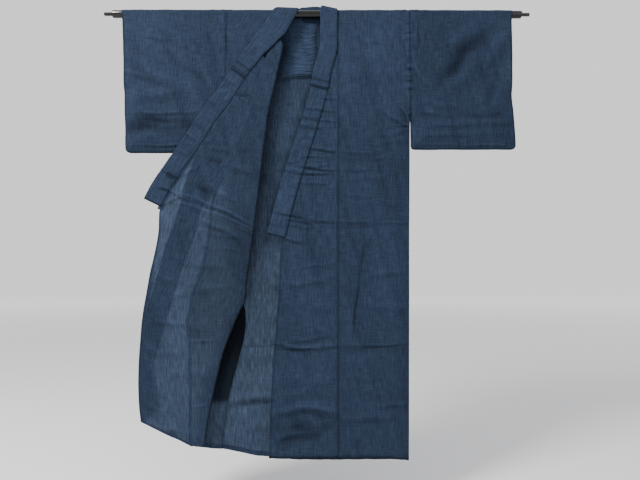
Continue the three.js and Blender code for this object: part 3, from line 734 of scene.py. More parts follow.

# Tables of creases. A row is x and z of one end, x and z of the other, bow, width, height and,
# where its ridge gets painted highlight or, if negative, painted shade, how much.
LEFT_FRONT = [
    (58, -702, 302, -708, 1, 4.0, 1.5, 1.5), (58, -722, 300, -716, -3, 12, -1.1),
    (-150, -672, 62, -712, 7, 3.8, -3.0, -1.5), (-155, -690, 66, -704, 3, 4.5, 1.3),
    (-120, -716, -20, -728, -8, 6, 1.6), (-70, -707, 10, -735, -10, 5, 1.2),
    (62, -1103, 294, -1098, 2, 3.5, 1.6), (64, -1122, 292, -1112, 0, 14, -1.0),
    (-160, -1088, 64, -1096, 16, 6, 2.6), (-152, -1106, 70, -1104, 7, 4, 1.3),
    (-100, -1082, 40, -1066, 6, 7, 1.3), (166, -742, 152, -800, -2, 4, 1.0),
    (152, -768, 108, -1096, 4, 4.0, -0.9, -4.4), (148, -960, 120, -1098, 2, 3.4, -0.6, -2.0),
    (-170, -1318, 66, -1312, -20, 11, 2.4), (-158, -1350, 60, -1352, 14, 16, -1.5),
    (-165, -1385, 64, -1378, 6, 34, -3.0, -1.7), (-150, -1402, 0, -1372, -10, 9, 1.4),
    (60, -1326, 288, -1318, 6, 9, 1.0), (180, -1290, 296, -1284, 3, 6, 0.9),
    (70, -1200, 200, -1206, 3, 6, 0.6), (246, -270, 274, -322, 2, 3.5, 2.2),
    (272, -318, 304, -378, -3, 3.6, 2.2), (216, -330, 306, -384, 9, 5, 1.8),
    (250, -386, 312, -381, 2, 3.2, 2.2), (190, -420, 304, -392, 5, 7, 1.0),
    (170, -452, 296, -430, -4, 8, 0.7), (66, -472, 210, -478, 3, 5, 0.9),
    (80, -496, 250, -494, -3, 6, 0.8), (62, -533, 190, -530, 3, 5, 0.9),
    (70, -566, 240, -560, -4, 7, 0.6), (60, -612, 180, -620, 3, 6, 0.6),
    (150, -640, 296, -652, -4, 8, 0.7), (80, -120, 240, -150, 8, 16, 0.9),
    (90, -210, 280, -196, -8, 20, 0.9), (120, -60, 200, -110, 4, 9, 0.7),
    (170, -96, 235, -120, -4, 4, 0.9), (75, -800, 150, -860, 5, 12, 0.7),
    (180, -880, 292, -868, -3, 7, 0.8), (100, -960, 292, -985, 5, 9, 0.7),
    (66, -1010, 130, -1030, 3, 6, 0.7), (200, -1040, 292, -1030, 2, 6, 0.6),
    (-128, -902, 40, -890, 6, 9, 0.9), (-130, -968, 62, -985, -5, 10, 0.8),
    (-60, -850, 60, -840, 3, 6, 0.7), (-140, -1195, 50, -1210, 8, 14, 0.9),
    (-130, -1260, 60, -1244, -6, 12, 0.7), (10, -290, 70, -296, 1, 3.6, 1.8),
    (0, -330, 66, -338, 2, 3.4, 2.2), (-20, -362, 64, -372, 2, 3.6, 2.6),
    (-30, -388, 20, -392, 1, 4, 1.6), (-50, -455, 64, -470, 3, 3.6, 2.5),
    (-60, -488, 62, -494, -2, 3.4, 2.0), (-75, -516, 60, -534, 3, 3.6, 2.4),
    (-84, -545, 58, -548, -2, 3.4, 2.0), (-90, -572, 40, -580, 2, 4, 1.6),
    (-50, -322, 20, -333, 2, 4, 2.6), (-60, -351, 10, -360, 2, 5.5, 3.0),
    (-70, -377, -10, -380, 1, 8, 1.8), (-104, -482, -70, -458, 2, 5, 1.6),
    (-110, -508, -55, -500, 1, 4, 1.5), (-116, -528, -45, -541, 2, 4.5, 2.2),
    (-166, -700, -108, -716, 2, 3.5, 2.2), (-40, -520, 50, -518, 1, 4, 1.4),
    (-43, -543, 40, -545, 1, 3.4, 1.6), (-100, -610, -20, -620, 2, 5, 0.8),
    (-130, -752, -40, -772, 3, 5, 1.7), (-150, -700, -88, -718, 2, 3.2, -1.6),
    (-52, -328, 22, -337, 2, 4.5, -0.6, -2.6), (-60, -355, 14, -364, 2, 5, -0.6, -2.6),
    (-57, -1078, 48, -1064, 2, 9, -0.8, -2.4),
]
OPENED = [
    (-484, -604, -196, -727, -11, 4.4, 3.4, 1.3), (-470, -640, -190, -742, -9, 3.6, 2.0, 1.2),
    (-480, -622, -200, -734, -10, 3.2, -1.6), (-440, -662, -190, -768, -9, 5, -0.9),
    (-500, -590, -400, -640, 4, 4, 1.4), (-376, -700, -230, -775, -6, 7, 1.7),
    (-360, -742, -238, -752, 4, 6, 0.9), (-420, -560, -250, -640, 6, 8, 0.9),
    (-462, -560, -380, -520, 4, 5, 0.9), (-330, -430, -210, -470, 5, 8, 1.0),
    (-250, -300, -160, -330, 4, 6, 0.9), (-300, -520, -186, -560, -6, 9, 1.0),
    (-520, -800, -280, -850, 8, 10, 1.0), (-400, -770, -240, -800, 5, 5, 0.7),
    (-516, -880, -240, -916, 7, 9, 1.0), (-470, -940, -300, -925, -6, 8, 0.8),
    (-545, -1010, -330, -1040, 6, 8, 0.9), (-410, -1085, -320, -1080, 3, 4, 1.3),
    (-556, -1100, -410, -1120, 6, 9, 0.9), (-556, -1270, -470, -1300, 5, 5, 1.1),
    (-470, -1180, -330, -1190, -5, 10, 0.9), (-540, -1330, -370, -1372, 6, 8, 0.9),
    (-400, -1288, -318, -1280, 2, 3, 1.5), (-150, -150, -118, -230, 3, 5, 1.0),
    (-240, -200, -150, -215, 2, 5, 0.8), (-515, -655, -440, -620, 3, 3.2, 1.6),
    (-560, -520, -470, -545, 3, 3.4, 1.5), (-548, -590, -486, -596, 2, 3, 1.3),
    (-470, -440, -400, -452, 2, 4, 1.1), (-330, -262, -250, -280, 2, 4, 0.9),
    (-222, -340, -270, -480, 0, 3.6, -0.9, -3.2), (-270, -292, -218, -290, 1, 3.6, -1.4, -2.0),
    (-357, -462, -281, -472, 2, 7, 1.6), (-367, -499, -300, -518, 3, 6, -1.6, -1.2),
    (-392, -586, -327, -620, 3, 10, -1.6, -1.4), (-468, -474, -420, -494, 2, 6, -1.6, -1.2),
    (-492, -546, -452, -566, 1, 9, -1.8, -2.2), (-520, -596, -480, -604, 0, 3.6, -1.6, -2.6),
    (-367, -313, -321, -329, 2, 8, -1.6, -1.2), (-424, -370, -362, -412, 2, 9, -1.6, -1.4),
    (-442, -404, -386, -440, 1, 5, 1.8), (-304, -230, -262, -246, 1, 7, 1.6),
]
BACK = [
    (-300, -1108, 290, -1100, 3, 3.4, -1.5), (-296, -1128, 288, -1122, 2, 13, 1.2),
    (-298, -712, 300, -706, -2, 3.4, -1.4), (-290, -1262, -40, -1240, 9, 12, 1.5),
    (-290, -1290, 10, -1288, -6, 9, -1.6), (-240, -1350, -20, -1330, 6, 12, 1.2),
    (-220, -880, -40, -900, 5, 12, 1.1), (-200, -520, -20, -560, 10, 16, 1.2),
    (-180, -640, -60, -600, -6, 12, 0.9), (-170, -320, -10, -340, 6, 12, 0.8),
    (20, -300, 240, -340, 9, 14, 1.1), (60, -480, 290, -452, -6, 9, 1.0),
    (30, -880, 270, -910, 8, 12, 1.0), (110, -560, 150, -1020, 9, 8, 1.1),
    (-90, -1160, -60, -1420, 7, 10, 1.0), (40, -1240, 280, -1270, -8, 10, 1.2),
    (20, -1380, 250, -1360, 7, 8, 1.1), (230, -300, 300, -380, 4, 5, 1.3),
    (-300, -382, -220, -300, -4, 5, 1.2),
]
SLEEVES = [
    # the right sleeve's front
    (-645, -341, -384, -341, 2, 4, 1.5), (-650, -380, -370, -384, 0, 22, -3.4),
    (-665, -398, -350, -402, 0, 26, -3.2, -1.5), (-600, -358, -420, -372, 3, 8, -1.6),
    (-645, -452, -330, -447, 2, 3.2, 1.2), (-585, -76, -490, -92, 4, 5, 1.2),
    (-420, -80, -372, -118, 4, 5, 1.3), (-650, -120, -440, -250, 14, 15, 1.5),
    (-620, -60, -500, -180, -8, 18, 1.0), (-500, -110, -360, -210, 10, 11, 1.1),
    (-640, -300, -420, -262, -10, 16, 1.3), (-560, -420, -350, -405, -5, 7, 0.9),
    (-400, -150, -330, -280, 6, 10, 0.9), (-640, -200, -560, -215, 4, 8, 0.9),
    # the left sleeve's front
    (600, -40, 392, -262, 8, 22, -3.4, -2.1), (640, -70, 440, -250, -12, 20, 1.8),
    (560, -50, 420, -120, 6, 16, 1.0), (610, -210, 560, -330, 8, 14, -1.9),
    (330, -356, 640, -350, 4, 9, -1.5), (340, -384, 644, -376, 3, 5, 1.1),
    (332, -296, 480, -320, 5, 8, 1.0), (344, -420, 630, -412, -3, 6, 0.9),
    (340, -448, 650, -452, 1, 3.2, 1.2), (338, -30, 341, -120, 1, 3.4, -2.4),
    (341, -100, 331, -168, 1, 3.2, -2.0), (330, -160, 350, -225, 2, 4, -1.6),
    (325, -182, 380, -260, 4, 7, 1.1), (322, -330, 400, -344, 3, 5, 1.0),
    (318, -388, 322, -440, 2, 5, 1.0),
]
SLEEVE_BACKS = [
    (-630, -90, -380, -250, 10, 14, 1.4), (-640, -345, -330, -338, 3, 4, 1.3),
    (-500, -380, -330, -320, 5, 9, 1.0), (630, -80, 360, -230, -10, 16, 1.5),
    (640, -352, 330, -348, 2, 4, 1.3), (610, -420, 360, -400, 4, 8, 0.9),
]


def gathers(x, z):
    """The puckers of both armhole seams, the closed half's the stronger."""
    return puckers(x, z, SHOULDER, 3) + 0.5 * puckers(x, z, -SHOULDER, 4)


def hang(grid, table, seed, side=-1):
    """The grid as it hangs: a slow sway that front and back share, and the layer's own waves and
    creases, towards its side (-1 to the front, 1 to the back). They die out on the rod, and the
    waves also where the front meets the back."""
    x, y, z = np.moveaxis(grid, -1, 0)
    apart = np.clip((np.abs(y) - CLOSED_GAP) / 8, 0, 1)
    own = OWN_WAVES * waver(x, z, seed, 70, 260) * apart + creases(table, x, z)[0] + gathers(x, z)
    moved = grid.copy()
    moved[..., 1] += smooth(-z, *OFF_ROD) * (SWAY * waver(x, z, SWAYING, 150, 700) + side * own)
    return moved


def painted_crease_shade(grid, table):
    """How much darker a hung grid is painted: painted shade in the hollows of its creases, painted
    shade and light on its puckers, and painted highlight on the crease ridges that have it.
    """
    x, _, z = np.moveaxis(grid, -1, 0)
    dark = creases(table, x, z)[1] * (1 + 0.4 * gathers(x, z))
    return lerp(1, dark, smooth(-z, *OFF_ROD))


# painted shade along pressed seams and hems, by row from the edge
PRESSED = ((0, 1.0, 1.3), (1, 0.35, 1.0), (2, 0.0, 0.5))  # row, share at a seam and at a hem


def edges_dark(shade, start, end, low):
    """A grid's shade with painted shade on its first columns, last columns and last rows, where a
    seam or a hem is pressed in."""
    shade = np.array(shade)
    for reach, dark, low_dark in PRESSED:
        shade[:, reach] *= 1 - start * dark
        shade[:, -1 - reach] *= 1 - end * dark
        shade[-1 - reach] *= 1 - low * low_dark
    return shade


def doubled(grid, off, past=0.0):
    """The cloth beside a seam or a hem once more: the grid moved off towards the space between
    front and back, with its first column, the one at the seam, carried past it."""
    strip = grid.copy()
    outward = grid[:, 0] - grid[:, 1]
    strip[:, 0] += outward / np.linalg.norm(outward, axis=-1, keepdims=True) * past
    away = strip * np.array([0, 1, 1])
    away[..., 2] = np.maximum(away[..., 2], 0)
    away /= np.maximum(np.linalg.norm(away, axis=-1, keepdims=True), 1e-6)
    return strip - off * away


def shut(one, other):
    """A narrow band that joins two edges, row by row."""
    return np.stack([one, other], axis=1)


# ---------- finishes ----------
def new_group(name, inputs, outputs):
    """A shader node group with named sockets, and its input and output nodes."""
    tree = bpy.data.node_groups.new(name, "ShaderNodeTree")
    for label, kind in inputs:
        tree.interface.new_socket(name=label, in_out="INPUT", socket_type=kind)
    for label, kind in outputs:
        tree.interface.new_socket(name=label, in_out="OUTPUT", socket_type=kind)
    return tree, tree.nodes.new("NodeGroupInput"), tree.nodes.new("NodeGroupOutput")


def new_material(name):
    """A material that is still without nodes, and its node tree."""
    material = bpy.data.materials.new(name)
    material.use_nodes = True
    material.node_tree.nodes.clear()
    return material, material.node_tree


def put(tree, kind, settings=None, **sockets):
    """A shader node with its settings, and with its sockets, by name or as i and a number, set to
    values or joined to other sockets."""
    node = tree.nodes.new("ShaderNode" + kind)
    for key, value in (settings or {}).items():
        setattr(node, key, value)
    for key, value in sockets.items():
        numbered = key[0] == "i" and key[1:].isdigit()
        socket = node.inputs[int(key[1:]) if numbered else key]
        if isinstance(value, bpy.types.NodeSocket):
            tree.links.new(value, socket)
        else:
            socket.default_value = value
    return node


def sums(tree, operation, a, b):
    """The outcome of a sum, such as ADD or MULTIPLY, of two numbers or sockets."""
    return put(tree, "Math", {"operation": operation}, i0=a, i1=b).outputs[0]


# the weave's noise: how often a metre across, how often along, detail
RIDGES = (235, 27)
STREAKS = (70, 1.6, 3.0)
SLUBS = (26, 210, 1.0)
PATCHES = [
    # the same, roughness, share of the tone
    (9, 7, 3.0, 0.6, 0.3),
    (3.2, 2.4, 2.0, 0.55, 0.3),
    (1100, 900, 1.0, 0.55, 0.35),
]


def crepe_group():
    """Crepe weave. Long noise along the warp gives the crepe's ridges, broader noise its streaks,
    and short noise along the weft the slubs. Tone is about 1, and so is Clear, which says how
    much more light comes between the threads; Height is about 0 to 1."""
    tree, given, out = new_group(
        "crepe weave",
        [("Cloth", "NodeSocketVector")],
        [("Tone", "NodeSocketFloat"), ("Clear", "NodeSocketFloat"), ("Height", "NodeSocketFloat")],
    )

    def noise(across, along, detail=2.0, rough=0.55):
        scaled = put(
            tree, "VectorMath", {"operation": "MULTIPLY"},
            i0=given.outputs["Cloth"], i1=(across, along, 1.0),
        ).outputs[0]
        made = put(
            tree, "TexNoise", {"noise_dimensions": "2D"},
            Vector=scaled, Scale=1.0, Detail=detail, Roughness=rough,
        )
        return sums(tree, "SUBTRACT", made.outputs["Fac"], 0.5)

    def mixed(parts, start):
        for part, share in parts:
            start = sums(tree, "ADD", sums(tree, "MULTIPLY", part, share), start)
        return start

    ridges, streaks, slubs = noise(*RIDGES), noise(*STREAKS), noise(*SLUBS)
    patches = [(noise(*form), share) for *form, share in PATCHES]
    tone = mixed([(ridges, 0.8), (streaks, 0.12), (slubs, 0.6), *patches], 1.0)
    clear = mixed([(ridges, 1.2), (slubs, -0.45)], 1.0)
    height = mixed([(ridges, 1.0), (streaks, 0.3), (slubs, 0.3)], 0.5)
    for label, value in (("Tone", tone), ("Clear", clear), ("Height", height)):
        tree.links.new(value, out.inputs[label])


def crepe_cloth(name, colour, glow):
    """Sheer crepe: half the light is sent back, half goes through, so that cloth with nothing
    behind it is brighter. colour is what one layer sends back and glow what it lets through."""
    material, tree = new_material(name)
    cloth = put(tree, "UVMap", {"uv_map": "cloth"})
    weave = put(
        tree, "Group", {"node_tree": bpy.data.node_groups["crepe weave"]}, Cloth=cloth.outputs[0]
    )

    def toned(tone, tint):
        return put(
            tree, "VectorMath", {"operation": "SCALE"},
            i0=tuple(2 * c for c in tint), Scale=tone,
        ).outputs[0]

    # the shade and sheer attributes carry each piece's painted shade and painted light
    shade = put(tree, "Attribute", {"attribute_name": "shade"}).outputs["Fac"]
    sheer = put(tree, "Attribute", {"attribute_name": "sheer"}).outputs["Fac"]
    tone = sums(tree, "MULTIPLY", weave.outputs["Tone"], shade)
    lit = sums(tree, "MULTIPLY", sums(tree, "MULTIPLY", tone, sheer), weave.outputs["Clear"])
    bump = put(tree, "Bump", Strength=0.9, Distance=0.0018, Height=weave.outputs["Height"])
    front = put(tree, "BsdfPrincipled", **{
        "Base Color": toned(tone, colour), "Roughness": 0.85, "Normal": bump.outputs[0],
        "Specular IOR Level": 0.1, "Sheen Weight": 0.03, "Sheen Roughness": 0.45,
    })
    through = put(tree, "BsdfTranslucent", Color=toned(lit, glow), Normal=bump.outputs[0])
    both = put(tree, "MixShader", i0=0.5, i1=front.outputs[0], i2=through.outputs[0])
    put(tree, "OutputMaterial", Surface=both.outputs[0])
    return material


def lacquer(name):
    """Black lacquer: a deep gloss with a clear coat and the faintest unevenness."""
    material, tree = new_material(name)
    place = put(tree, "TexCoord").outputs["Object"]
    uneven = put(tree, "TexNoise", Vector=place, Scale=60.0, Detail=3.0).outputs["Fac"]
    rough = put(tree, "MapRange", **{"Value": uneven, "To Min": 0.16, "To Max": 0.26})
    bump = put(tree, "Bump", Strength=0.12, Distance=0.0006, Height=uneven)
    coat = put(tree, "BsdfPrincipled", **{
        "Base Color": (0.003, 0.003, 0.0035, 1), "Roughness": rough.outputs[0],
        "Normal": bump.outputs[0], "Specular IOR Level": 0.2,
        "Coat Weight": 0.3, "Coat Roughness": 0.08,
    })
    put(tree, "OutputMaterial", Surface=coat.outputs[0])
    return material


def rod():
    """The rod: a profile of radii along its length, with rounded shoulders, turned round X."""
    tip = ROD_HALF + PIN_LENGTH
    ends = [
        (0, -tip), (PIN_RADIUS - 1.2, -tip), (PIN_RADIUS, -tip + 1.2), (PIN_RADIUS, -ROD_HALF),
        (ROD_RADIUS - 4, -ROD_HALF), (ROD_RADIUS - 2, -ROD_HALF + 0.7),
        (ROD_RADIUS - 0.6, -ROD_HALF + 2.2), (ROD_RADIUS, -ROD_HALF + 4),
    ]
    middle = [(ROD_RADIUS, x) for x in spread(-ROD_HALF + 4, ROD_HALF - 4, 40)[1:-1]]
    profile = np.array(ends + middle + [(r, -x) for r, x in ends[::-1]], float)
    turn = np.linspace(0, 2 * np.pi, 65)[None, :]
    radius, along = profile[:, :1], profile[:, 1:]
    return points(along + 0 * turn, radius * np.sin(turn), radius * np.cos(turn))


# ---------- shades and doubled edges of the pieces ----------
UNDER_BY = 0.75  # how far a doubled strip lies behind its cloth
HEM_ROWS = 5
EDGE_OVER = 61  # from the collar's seam to its free edge, level
UNDER_NECK = 0.6  # how far the neck's allowance lies under the body's cloth
BEHIND_NECK = (12.2, -5)  # its y at the back, and how far it reaches below the collar's seam
NECK_CORNER = 55  # beyond this x it runs on beside the neckline
# painted shade darkens the stretch behind the fold between these depths
MOUTH = (945, 985, 1268, 1292)  # depths where the hollow under the fold sets in and fades out
BACK_COUNT, OVER_COUNT = len(BACK_DEPTHS), len(OVER_ANGLES)
BACK_ROWS = slice(0, BACK_COUNT)
OVER_ROWS = slice(BACK_COUNT, BACK_COUNT + OVER_COUNT)
FRONT_ROWS = slice(BACK_COUNT + OVER_COUNT, None)
BELOW_ARM = slice(0, int((BACK_DEPTHS > ARMHOLE).sum()))


def last(count):
    """A grid's last columns, from its edge inwards."""
    return slice(-1, -count - 1, -1)


def layer(grid, face, shade=1.0, sheer=1.0):
    """A layer of a piece, with the grid's own run as its cloth coordinates."""
    return grid, cloth_coordinates(grid), shade, sheer, face


def strips(grid, face, rows, *parts):
    """Doubled strips of a grid's rows: each part is (columns from the seam inwards, past)."""
    return [layer(doubled(grid[rows][:, columns], UNDER_BY, past), face) for columns, past in parts]


def hung_body(grid, table, front_waves):
    """A body strip with its back and its front hung by their own tables."""
    back = hang(grid[BACK_ROWS], BACK, BACK_WAVES, 1)
    front = hang(grid[FRONT_ROWS], table, front_waves)
    return np.concatenate([back, grid[OVER_ROWS], front])


def side_band(grid, column):
    """The side seam itself, from the hem up to the armhole: back and front joined at a column."""
    return shut(grid[BELOW_ARM][:, column], grid[::-1][BELOW_ARM][:, column])


def beside(away):
    """1 at an edge and less away from it: a bell curve, three times as wide under the edge."""
    return bell(np.where(away > 0, away, away / 3))


def edge_shadows(grid):
    """Shade on what hangs behind the closed collar's free edge, which lies EDGE_OVER inside the
    collar's seam, and behind the opened front's fold."""
    x, _, z = np.moveaxis(grid, -1, 0)
    away = (closed_edge(np.maximum(-z, OKUMI_TOP)) - EDGE_OVER - x) / 13
    deep = lerp(0.62, 0.36, smooth(-z, 60, 260)) * smooth(z, -COLLAR_END - 40, -COLLAR_END - 10)
    folded = 0.42 * smooth(-z, 20, 120) * smooth(z, -1000, -920)
    return (1 - deep * beside(away)) * (1 - folded * beside((x + fold_at(-z)) / 15))


def body_shade(grid, table, closed):
    """Painted shade of a body strip: in the hollows of its creases, along its pressed seams and
    hem, and behind the closed collar; and painted light that makes the closed front brighter near
    the top."""
    back = painted_crease_shade(grid[BACK_ROWS], BACK) * edge_shadows(grid[BACK_ROWS])
    front = painted_crease_shade(grid[FRONT_ROWS], table)
    # painted light: the closed front is made brighter near the top
    front = front * lerp(1.14 if closed else 1, 1, smooth(-grid[FRONT_ROWS][..., 2], 150, 450))
    seams = (0.4, 0.3) if closed else (0.3, 0.0)
    front = edges_dark(front, *seams, 0.46)
    back = edges_dark(back[::-1], 0.25, 0.25, 0.45)[::-1]
    return np.concatenate([back, np.ones(grid[OVER_ROWS].shape[:2]), front])


def body_sheer(grid):
    """How much light comes through a body strip, with painted shade: it is least in the back high
    up, where the fronts lie close, and a little less again near the back's hem."""
    z = grid[..., 2]
    back = lerp(0.55, 1.5, smooth(-z, 480, 1000)) * lerp(1, 0.74, smooth(-z, 1150, 1350))
    return np.where(np.arange(len(grid))[:, None] < BACK_COUNT, back, 1)


def opened_shading(grid):
    """Painted shade and sheer of the opened half's strip. Painted shade makes the stretch behind
    the fold dark where the opening gapes, with less light coming through there, and the cloth
    darker round the fold and, halfway down, beyond it."""
    kinds, shares = open_columns()
    z = grid[..., 2]
    front = (np.arange(len(grid)) >= BACK_COUNT + OVER_COUNT)[:, None]
    hidden = front & (kinds == HIDDEN)
    gaping = smooth(-z, MOUTH[0], MOUTH[1]) * smooth(z, -MOUTH[3], -MOUTH[2]) * hidden
    shade = 1 - gaping * lerp(0.9, 0.7, smooth(-z, 1050, 1290))
    shade = shade * (1 - 0.25 * hidden * smooth(-z, MOUTH[2], MOUTH[3]))
    shade = shade * body_shade(grid, OPENED, False)
    hung = front * smooth(-z, 60, 140)
    round_fold = lerp(0.3, 0.9, smooth(shares, 0.45, 1))
    at_fold = np.select([kinds == ROUND, kinds == TURNED], [round_fold, 0.95], 1)
    shade *= lerp(1, at_fold, hung)
    shade *= 1 - 0.3 * (kinds >= ROUND) * hung * smooth(-z, 580, 780) * smooth(z, -1200, -1000)
    return shade, body_sheer(grid) * (1 - 0.9 * gaping)


def opened_coordinates(grid):
    """The opened half's cloth coordinates: across the weave its back is counted from the side
    seam's line at the shoulder, and its front from the overlap panel's seam."""
    made = cloth_coordinates(grid)
    run = made[FRONT_ROWS, :, 0].copy()
    made[..., 0] = (SHOULDER + grid[..., 0]) * MM
    made[FRONT_ROWS, :, 0] = (SHOULDER - seam_at(0)) * MM - (run[:, -1:] - run)
    return made


def tube_shade(rings, number, shade):
    """A collar tube's painted shade: darker along its sewn edge and, less, along its free one, and
    with the painted shade of the fronts' creases where they run on over it."""
    count = rings.shape[1]
    free = np.abs(np.arange(count) - (count - 1) / 2)
    lines = 1 - 0.35 * bell(from_ends(count), 1.2) - 0.3 * bell(free, 1.5)
    closed = (number < ON_CLOSED)[:, None]
    creased = np.where(closed, painted_crease_shade(rings, LEFT_FRONT), painted_crease_shade(rings, OPENED))
    return shade[:, None] * lines * creased


def neck_allowance():
    """The allowance round the neck: a narrow band from the collar's seam edge to just under the
    neckline of the body."""
    seam = np.array([edge for edge, _ in collar_rows()[NECK_STARTS:NECK_ENDS]])
    angle = np.arctan2(seam[:, 1], seam[:, 2])
    under = ON_ROD - UNDER_NECK
    round_rod = points(0, under * np.sin(angle), under * np.cos(angle))
    behind = seam * [1, 0, 1] + [0, *BEHIND_NECK]
    inner = np.where((seam[:, 2] < -1)[:, None] & (seam[:, 1] > 0)[:, None], behind, round_rod)
    sideways = np.sign(seam[:, 0]) * (NECK_HALF + 3)
    inner[:, 0] = np.where(np.abs(seam[:, 0]) > NECK_CORNER, sideways, seam[:, 0])
    line, _, _ = through(list(zip(seam * [0.99, 1, 1], inner)), COLLAR_STEP)
    return lerp(line[:, :1], line[:, 1:], spread(0, 1, 0.25)[None, :, None])


# ---------- the pieces ----------
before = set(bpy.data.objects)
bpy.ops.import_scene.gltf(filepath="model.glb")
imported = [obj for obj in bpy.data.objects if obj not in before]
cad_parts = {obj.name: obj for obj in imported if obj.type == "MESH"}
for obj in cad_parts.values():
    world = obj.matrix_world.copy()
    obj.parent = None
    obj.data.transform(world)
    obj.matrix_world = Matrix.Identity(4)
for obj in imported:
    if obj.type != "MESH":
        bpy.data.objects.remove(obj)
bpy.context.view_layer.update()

crepe_group()
CREPE = crepe_cloth("navy crepe", (0.0135, 0.0215, 0.0395), (0.0195, 0.0265, 0.0375))
LACQUER = lacquer("black lacquer")

# the two body strips
left = hung_body(body_closed(), LEFT_FRONT, CLOSED_WAVES)
piece(
    "body_left_cloth",
    [
        layer(left, 1, body_shade(left, LEFT_FRONT, True), body_sheer(left)),
        layer(side_band(left, -1), 1, 0.8),
        *strips(left, 1, BACK_ROWS, (last(5), 0), (slice(5), 2)),
        *strips(left, 1, BELOW_ARM, (last(4), 0)),
        *strips(left, -1, FRONT_ROWS, (slice(3), 2)),
        layer(doubled(left[:HEM_ROWS], UNDER_BY), 1),
        layer(doubled(left[-HEM_ROWS:], UNDER_BY), -1),
    ],
    CREPE, ["body_left_back", "body_left_front"],
)
right = hung_body(body_opened(), OPENED, OPENED_WAVES)
piece(
    "body_right_cloth",
    [
        (right, opened_coordinates(right), *opened_shading(right), 1),
        layer(side_band(right, 0), 1, 0.7),
        *strips(right, 1, BACK_ROWS, (last(3), 2)),
        layer(doubled(right[:HEM_ROWS], UNDER_BY), 1),
        layer(doubled(right[-HEM_ROWS:], -UNDER_BY), 1),
    ],
    CREPE, ["body_right_back", "body_right_front"],
)

# the overlap panels
down, share = spread(OKUMI_TOP, FRONT_LENGTH, ROW_STEP), spread(0, 1, 1 / 44)
panel = hang(okumi_closed(down[:, None], share), LEFT_FRONT, CLOSED_WAVES)
below = down > COLLAR_END
piece(
    "okumi_left_cloth",
    [
        # painted light makes the panel a little brighter, over the painted shade of its creases and
        # edges
        layer(panel, -1, 1.1 * edges_dark(painted_crease_shade(panel, LEFT_FRONT), 0.4, 0.4, 0.58)),
        *strips(panel, -1, slice(None), (slice(7), 3)),
        *strips(panel, -1, ~below, (last(4), 8)),
        *strips(panel, -1, below, (last(3), 0)),
        layer(doubled(panel[-HEM_ROWS:], UNDER_BY), -1),
    ],
    CREPE, ["okumi_left"],
)

BAND = [
    # depth, right edge, left edge of the pressed band behind the opened panel, from its seam out
    (300, 205, 262), (440, 254, 378), (520, 285, 408), (600, 322, 436), (625, 345, 440),
    (672, 378, 452), (740, 392, 474), (810, 420, 497), (975, 468, 537), (1112, 507, 558),
    (1168, 519, 560),
]
band_right, band_left = track(BAND, 1), track(BAND, 2)
down = spread(OPEN_EDGE[0][0], BACK_LENGTH, ROW_STEP)
over = okumi_opened(*np.broadcast_arrays(down[:, None], share))
over = hang(over, OPENED, OPENED_WAVES)
flap = okumi_flap(*np.broadcast_arrays(down[:, None], spread(0, 1, 1 / 14)))
flap = hang(flap, OPENED, OPENED_WAVES)
below = down > COLLAR_END + 10
down = spread(BAND[0][0], BAND[-1][0], ROW_STEP)[:, None]
across = lerp(band_right(down), band_left(down), spread(0, 1, 1 / 12))
band = points(-across, OVER - 0.2, -down)
band = hang(band, OPENED, OPENED_WAVES)
# painted light: the panel lets more light through beyond the pressed band's left edge
band_edge = band_left(-over[..., 2])
sheer = 1 + 0.75 * smooth(-over[..., 0], band_edge - 6, band_edge + 4)
piece(
    "okumi_right_cloth",
    [
        layer(over, 1, edges_dark(painted_crease_shade(over, OPENED), 0.0, 0.4, 0.48), sheer),
        layer(flap[below], 1),
        layer(band, 1),
        # painted light: the seam's doubled strip is made brighter and lets more light through
        layer(doubled(over[:, :3], UNDER_BY, 3), 1, 1.3, 1.6),
        layer(doubled(over[~below][:, last(4)], UNDER_BY, 8), 1),
        layer(doubled(over[-HEM_ROWS:], -UNDER_BY), 1),
    ],
    CREPE, ["okumi_right"],
)

# the sleeves
for kind, waves in (("left", CLOSED_WAVES), ("right", RIGHT_SLEEVE_WAVES)):
    wall = sleeve_wall(kind)
    half = (len(wall) - OVER_COUNT) // 2
    front = hang(wall[:half], SLEEVES, waves)
    back = hang(wall[half + OVER_COUNT:], SLEEVE_BACKS, BACK_WAVES, 1)
    front_shade = edges_dark(painted_crease_shade(front, SLEEVES)[::-1], 0.35, 0.6, 0.6)[::-1]
    back_shade = edges_dark(painted_crease_shade(back, SLEEVE_BACKS), 0.35, 0.2, 0.4)
    shade = np.concatenate([front_shade, np.ones((OVER_COUNT, wall.shape[1])), back_shade])
    deep = -wall[:half, 0, 2]
    wall = np.concatenate([front, wall[half:half + OVER_COUNT], back])
    cuff, armhole = slice((deep > CUFF_OPENING).sum()), slice((deep > ARMHOLE).sum())
    piece(
        f"sleeve_{kind}_cloth",
        [
            layer(wall, -1, shade),
            layer(shut(wall[0], wall[-1]).transpose(1, 0, 2), -1),
            layer(shut(wall[cuff, -1], wall[::-1][cuff, -1]), -1),
            layer(shut(wall[armhole, 0], wall[::-1][armhole, 0]), -1),
            layer(doubled(front[:, :6], UNDER_BY, 1), -1),
            layer(doubled(back[:, :6], UNDER_BY, 1), 1),
            layer(doubled(front[:, last(3)], UNDER_BY), -1),
            layer(doubled(wall[:6], 0.4), -1),
        ],
        CREPE, [f"sleeve_{kind}"],
    )

# the collar and its second layer
rows, number = collar_middle(COLLAR_STEP)
for table, waves, hanging in (
    (LEFT_FRONT, CLOSED_WAVES, number < ON_CLOSED), (OPENED, OPENED_WAVES, number > NECK_ENDS)
):
    rows[hanging] = hang(rows[hanging], table, waves)
near_end = COLLAR_STEP * from_ends(len(rows))
at = COLLAR_STEP * np.arange(len(rows))
starts, ends = COLLAR_STEP * np.searchsorted(number, COVERED)
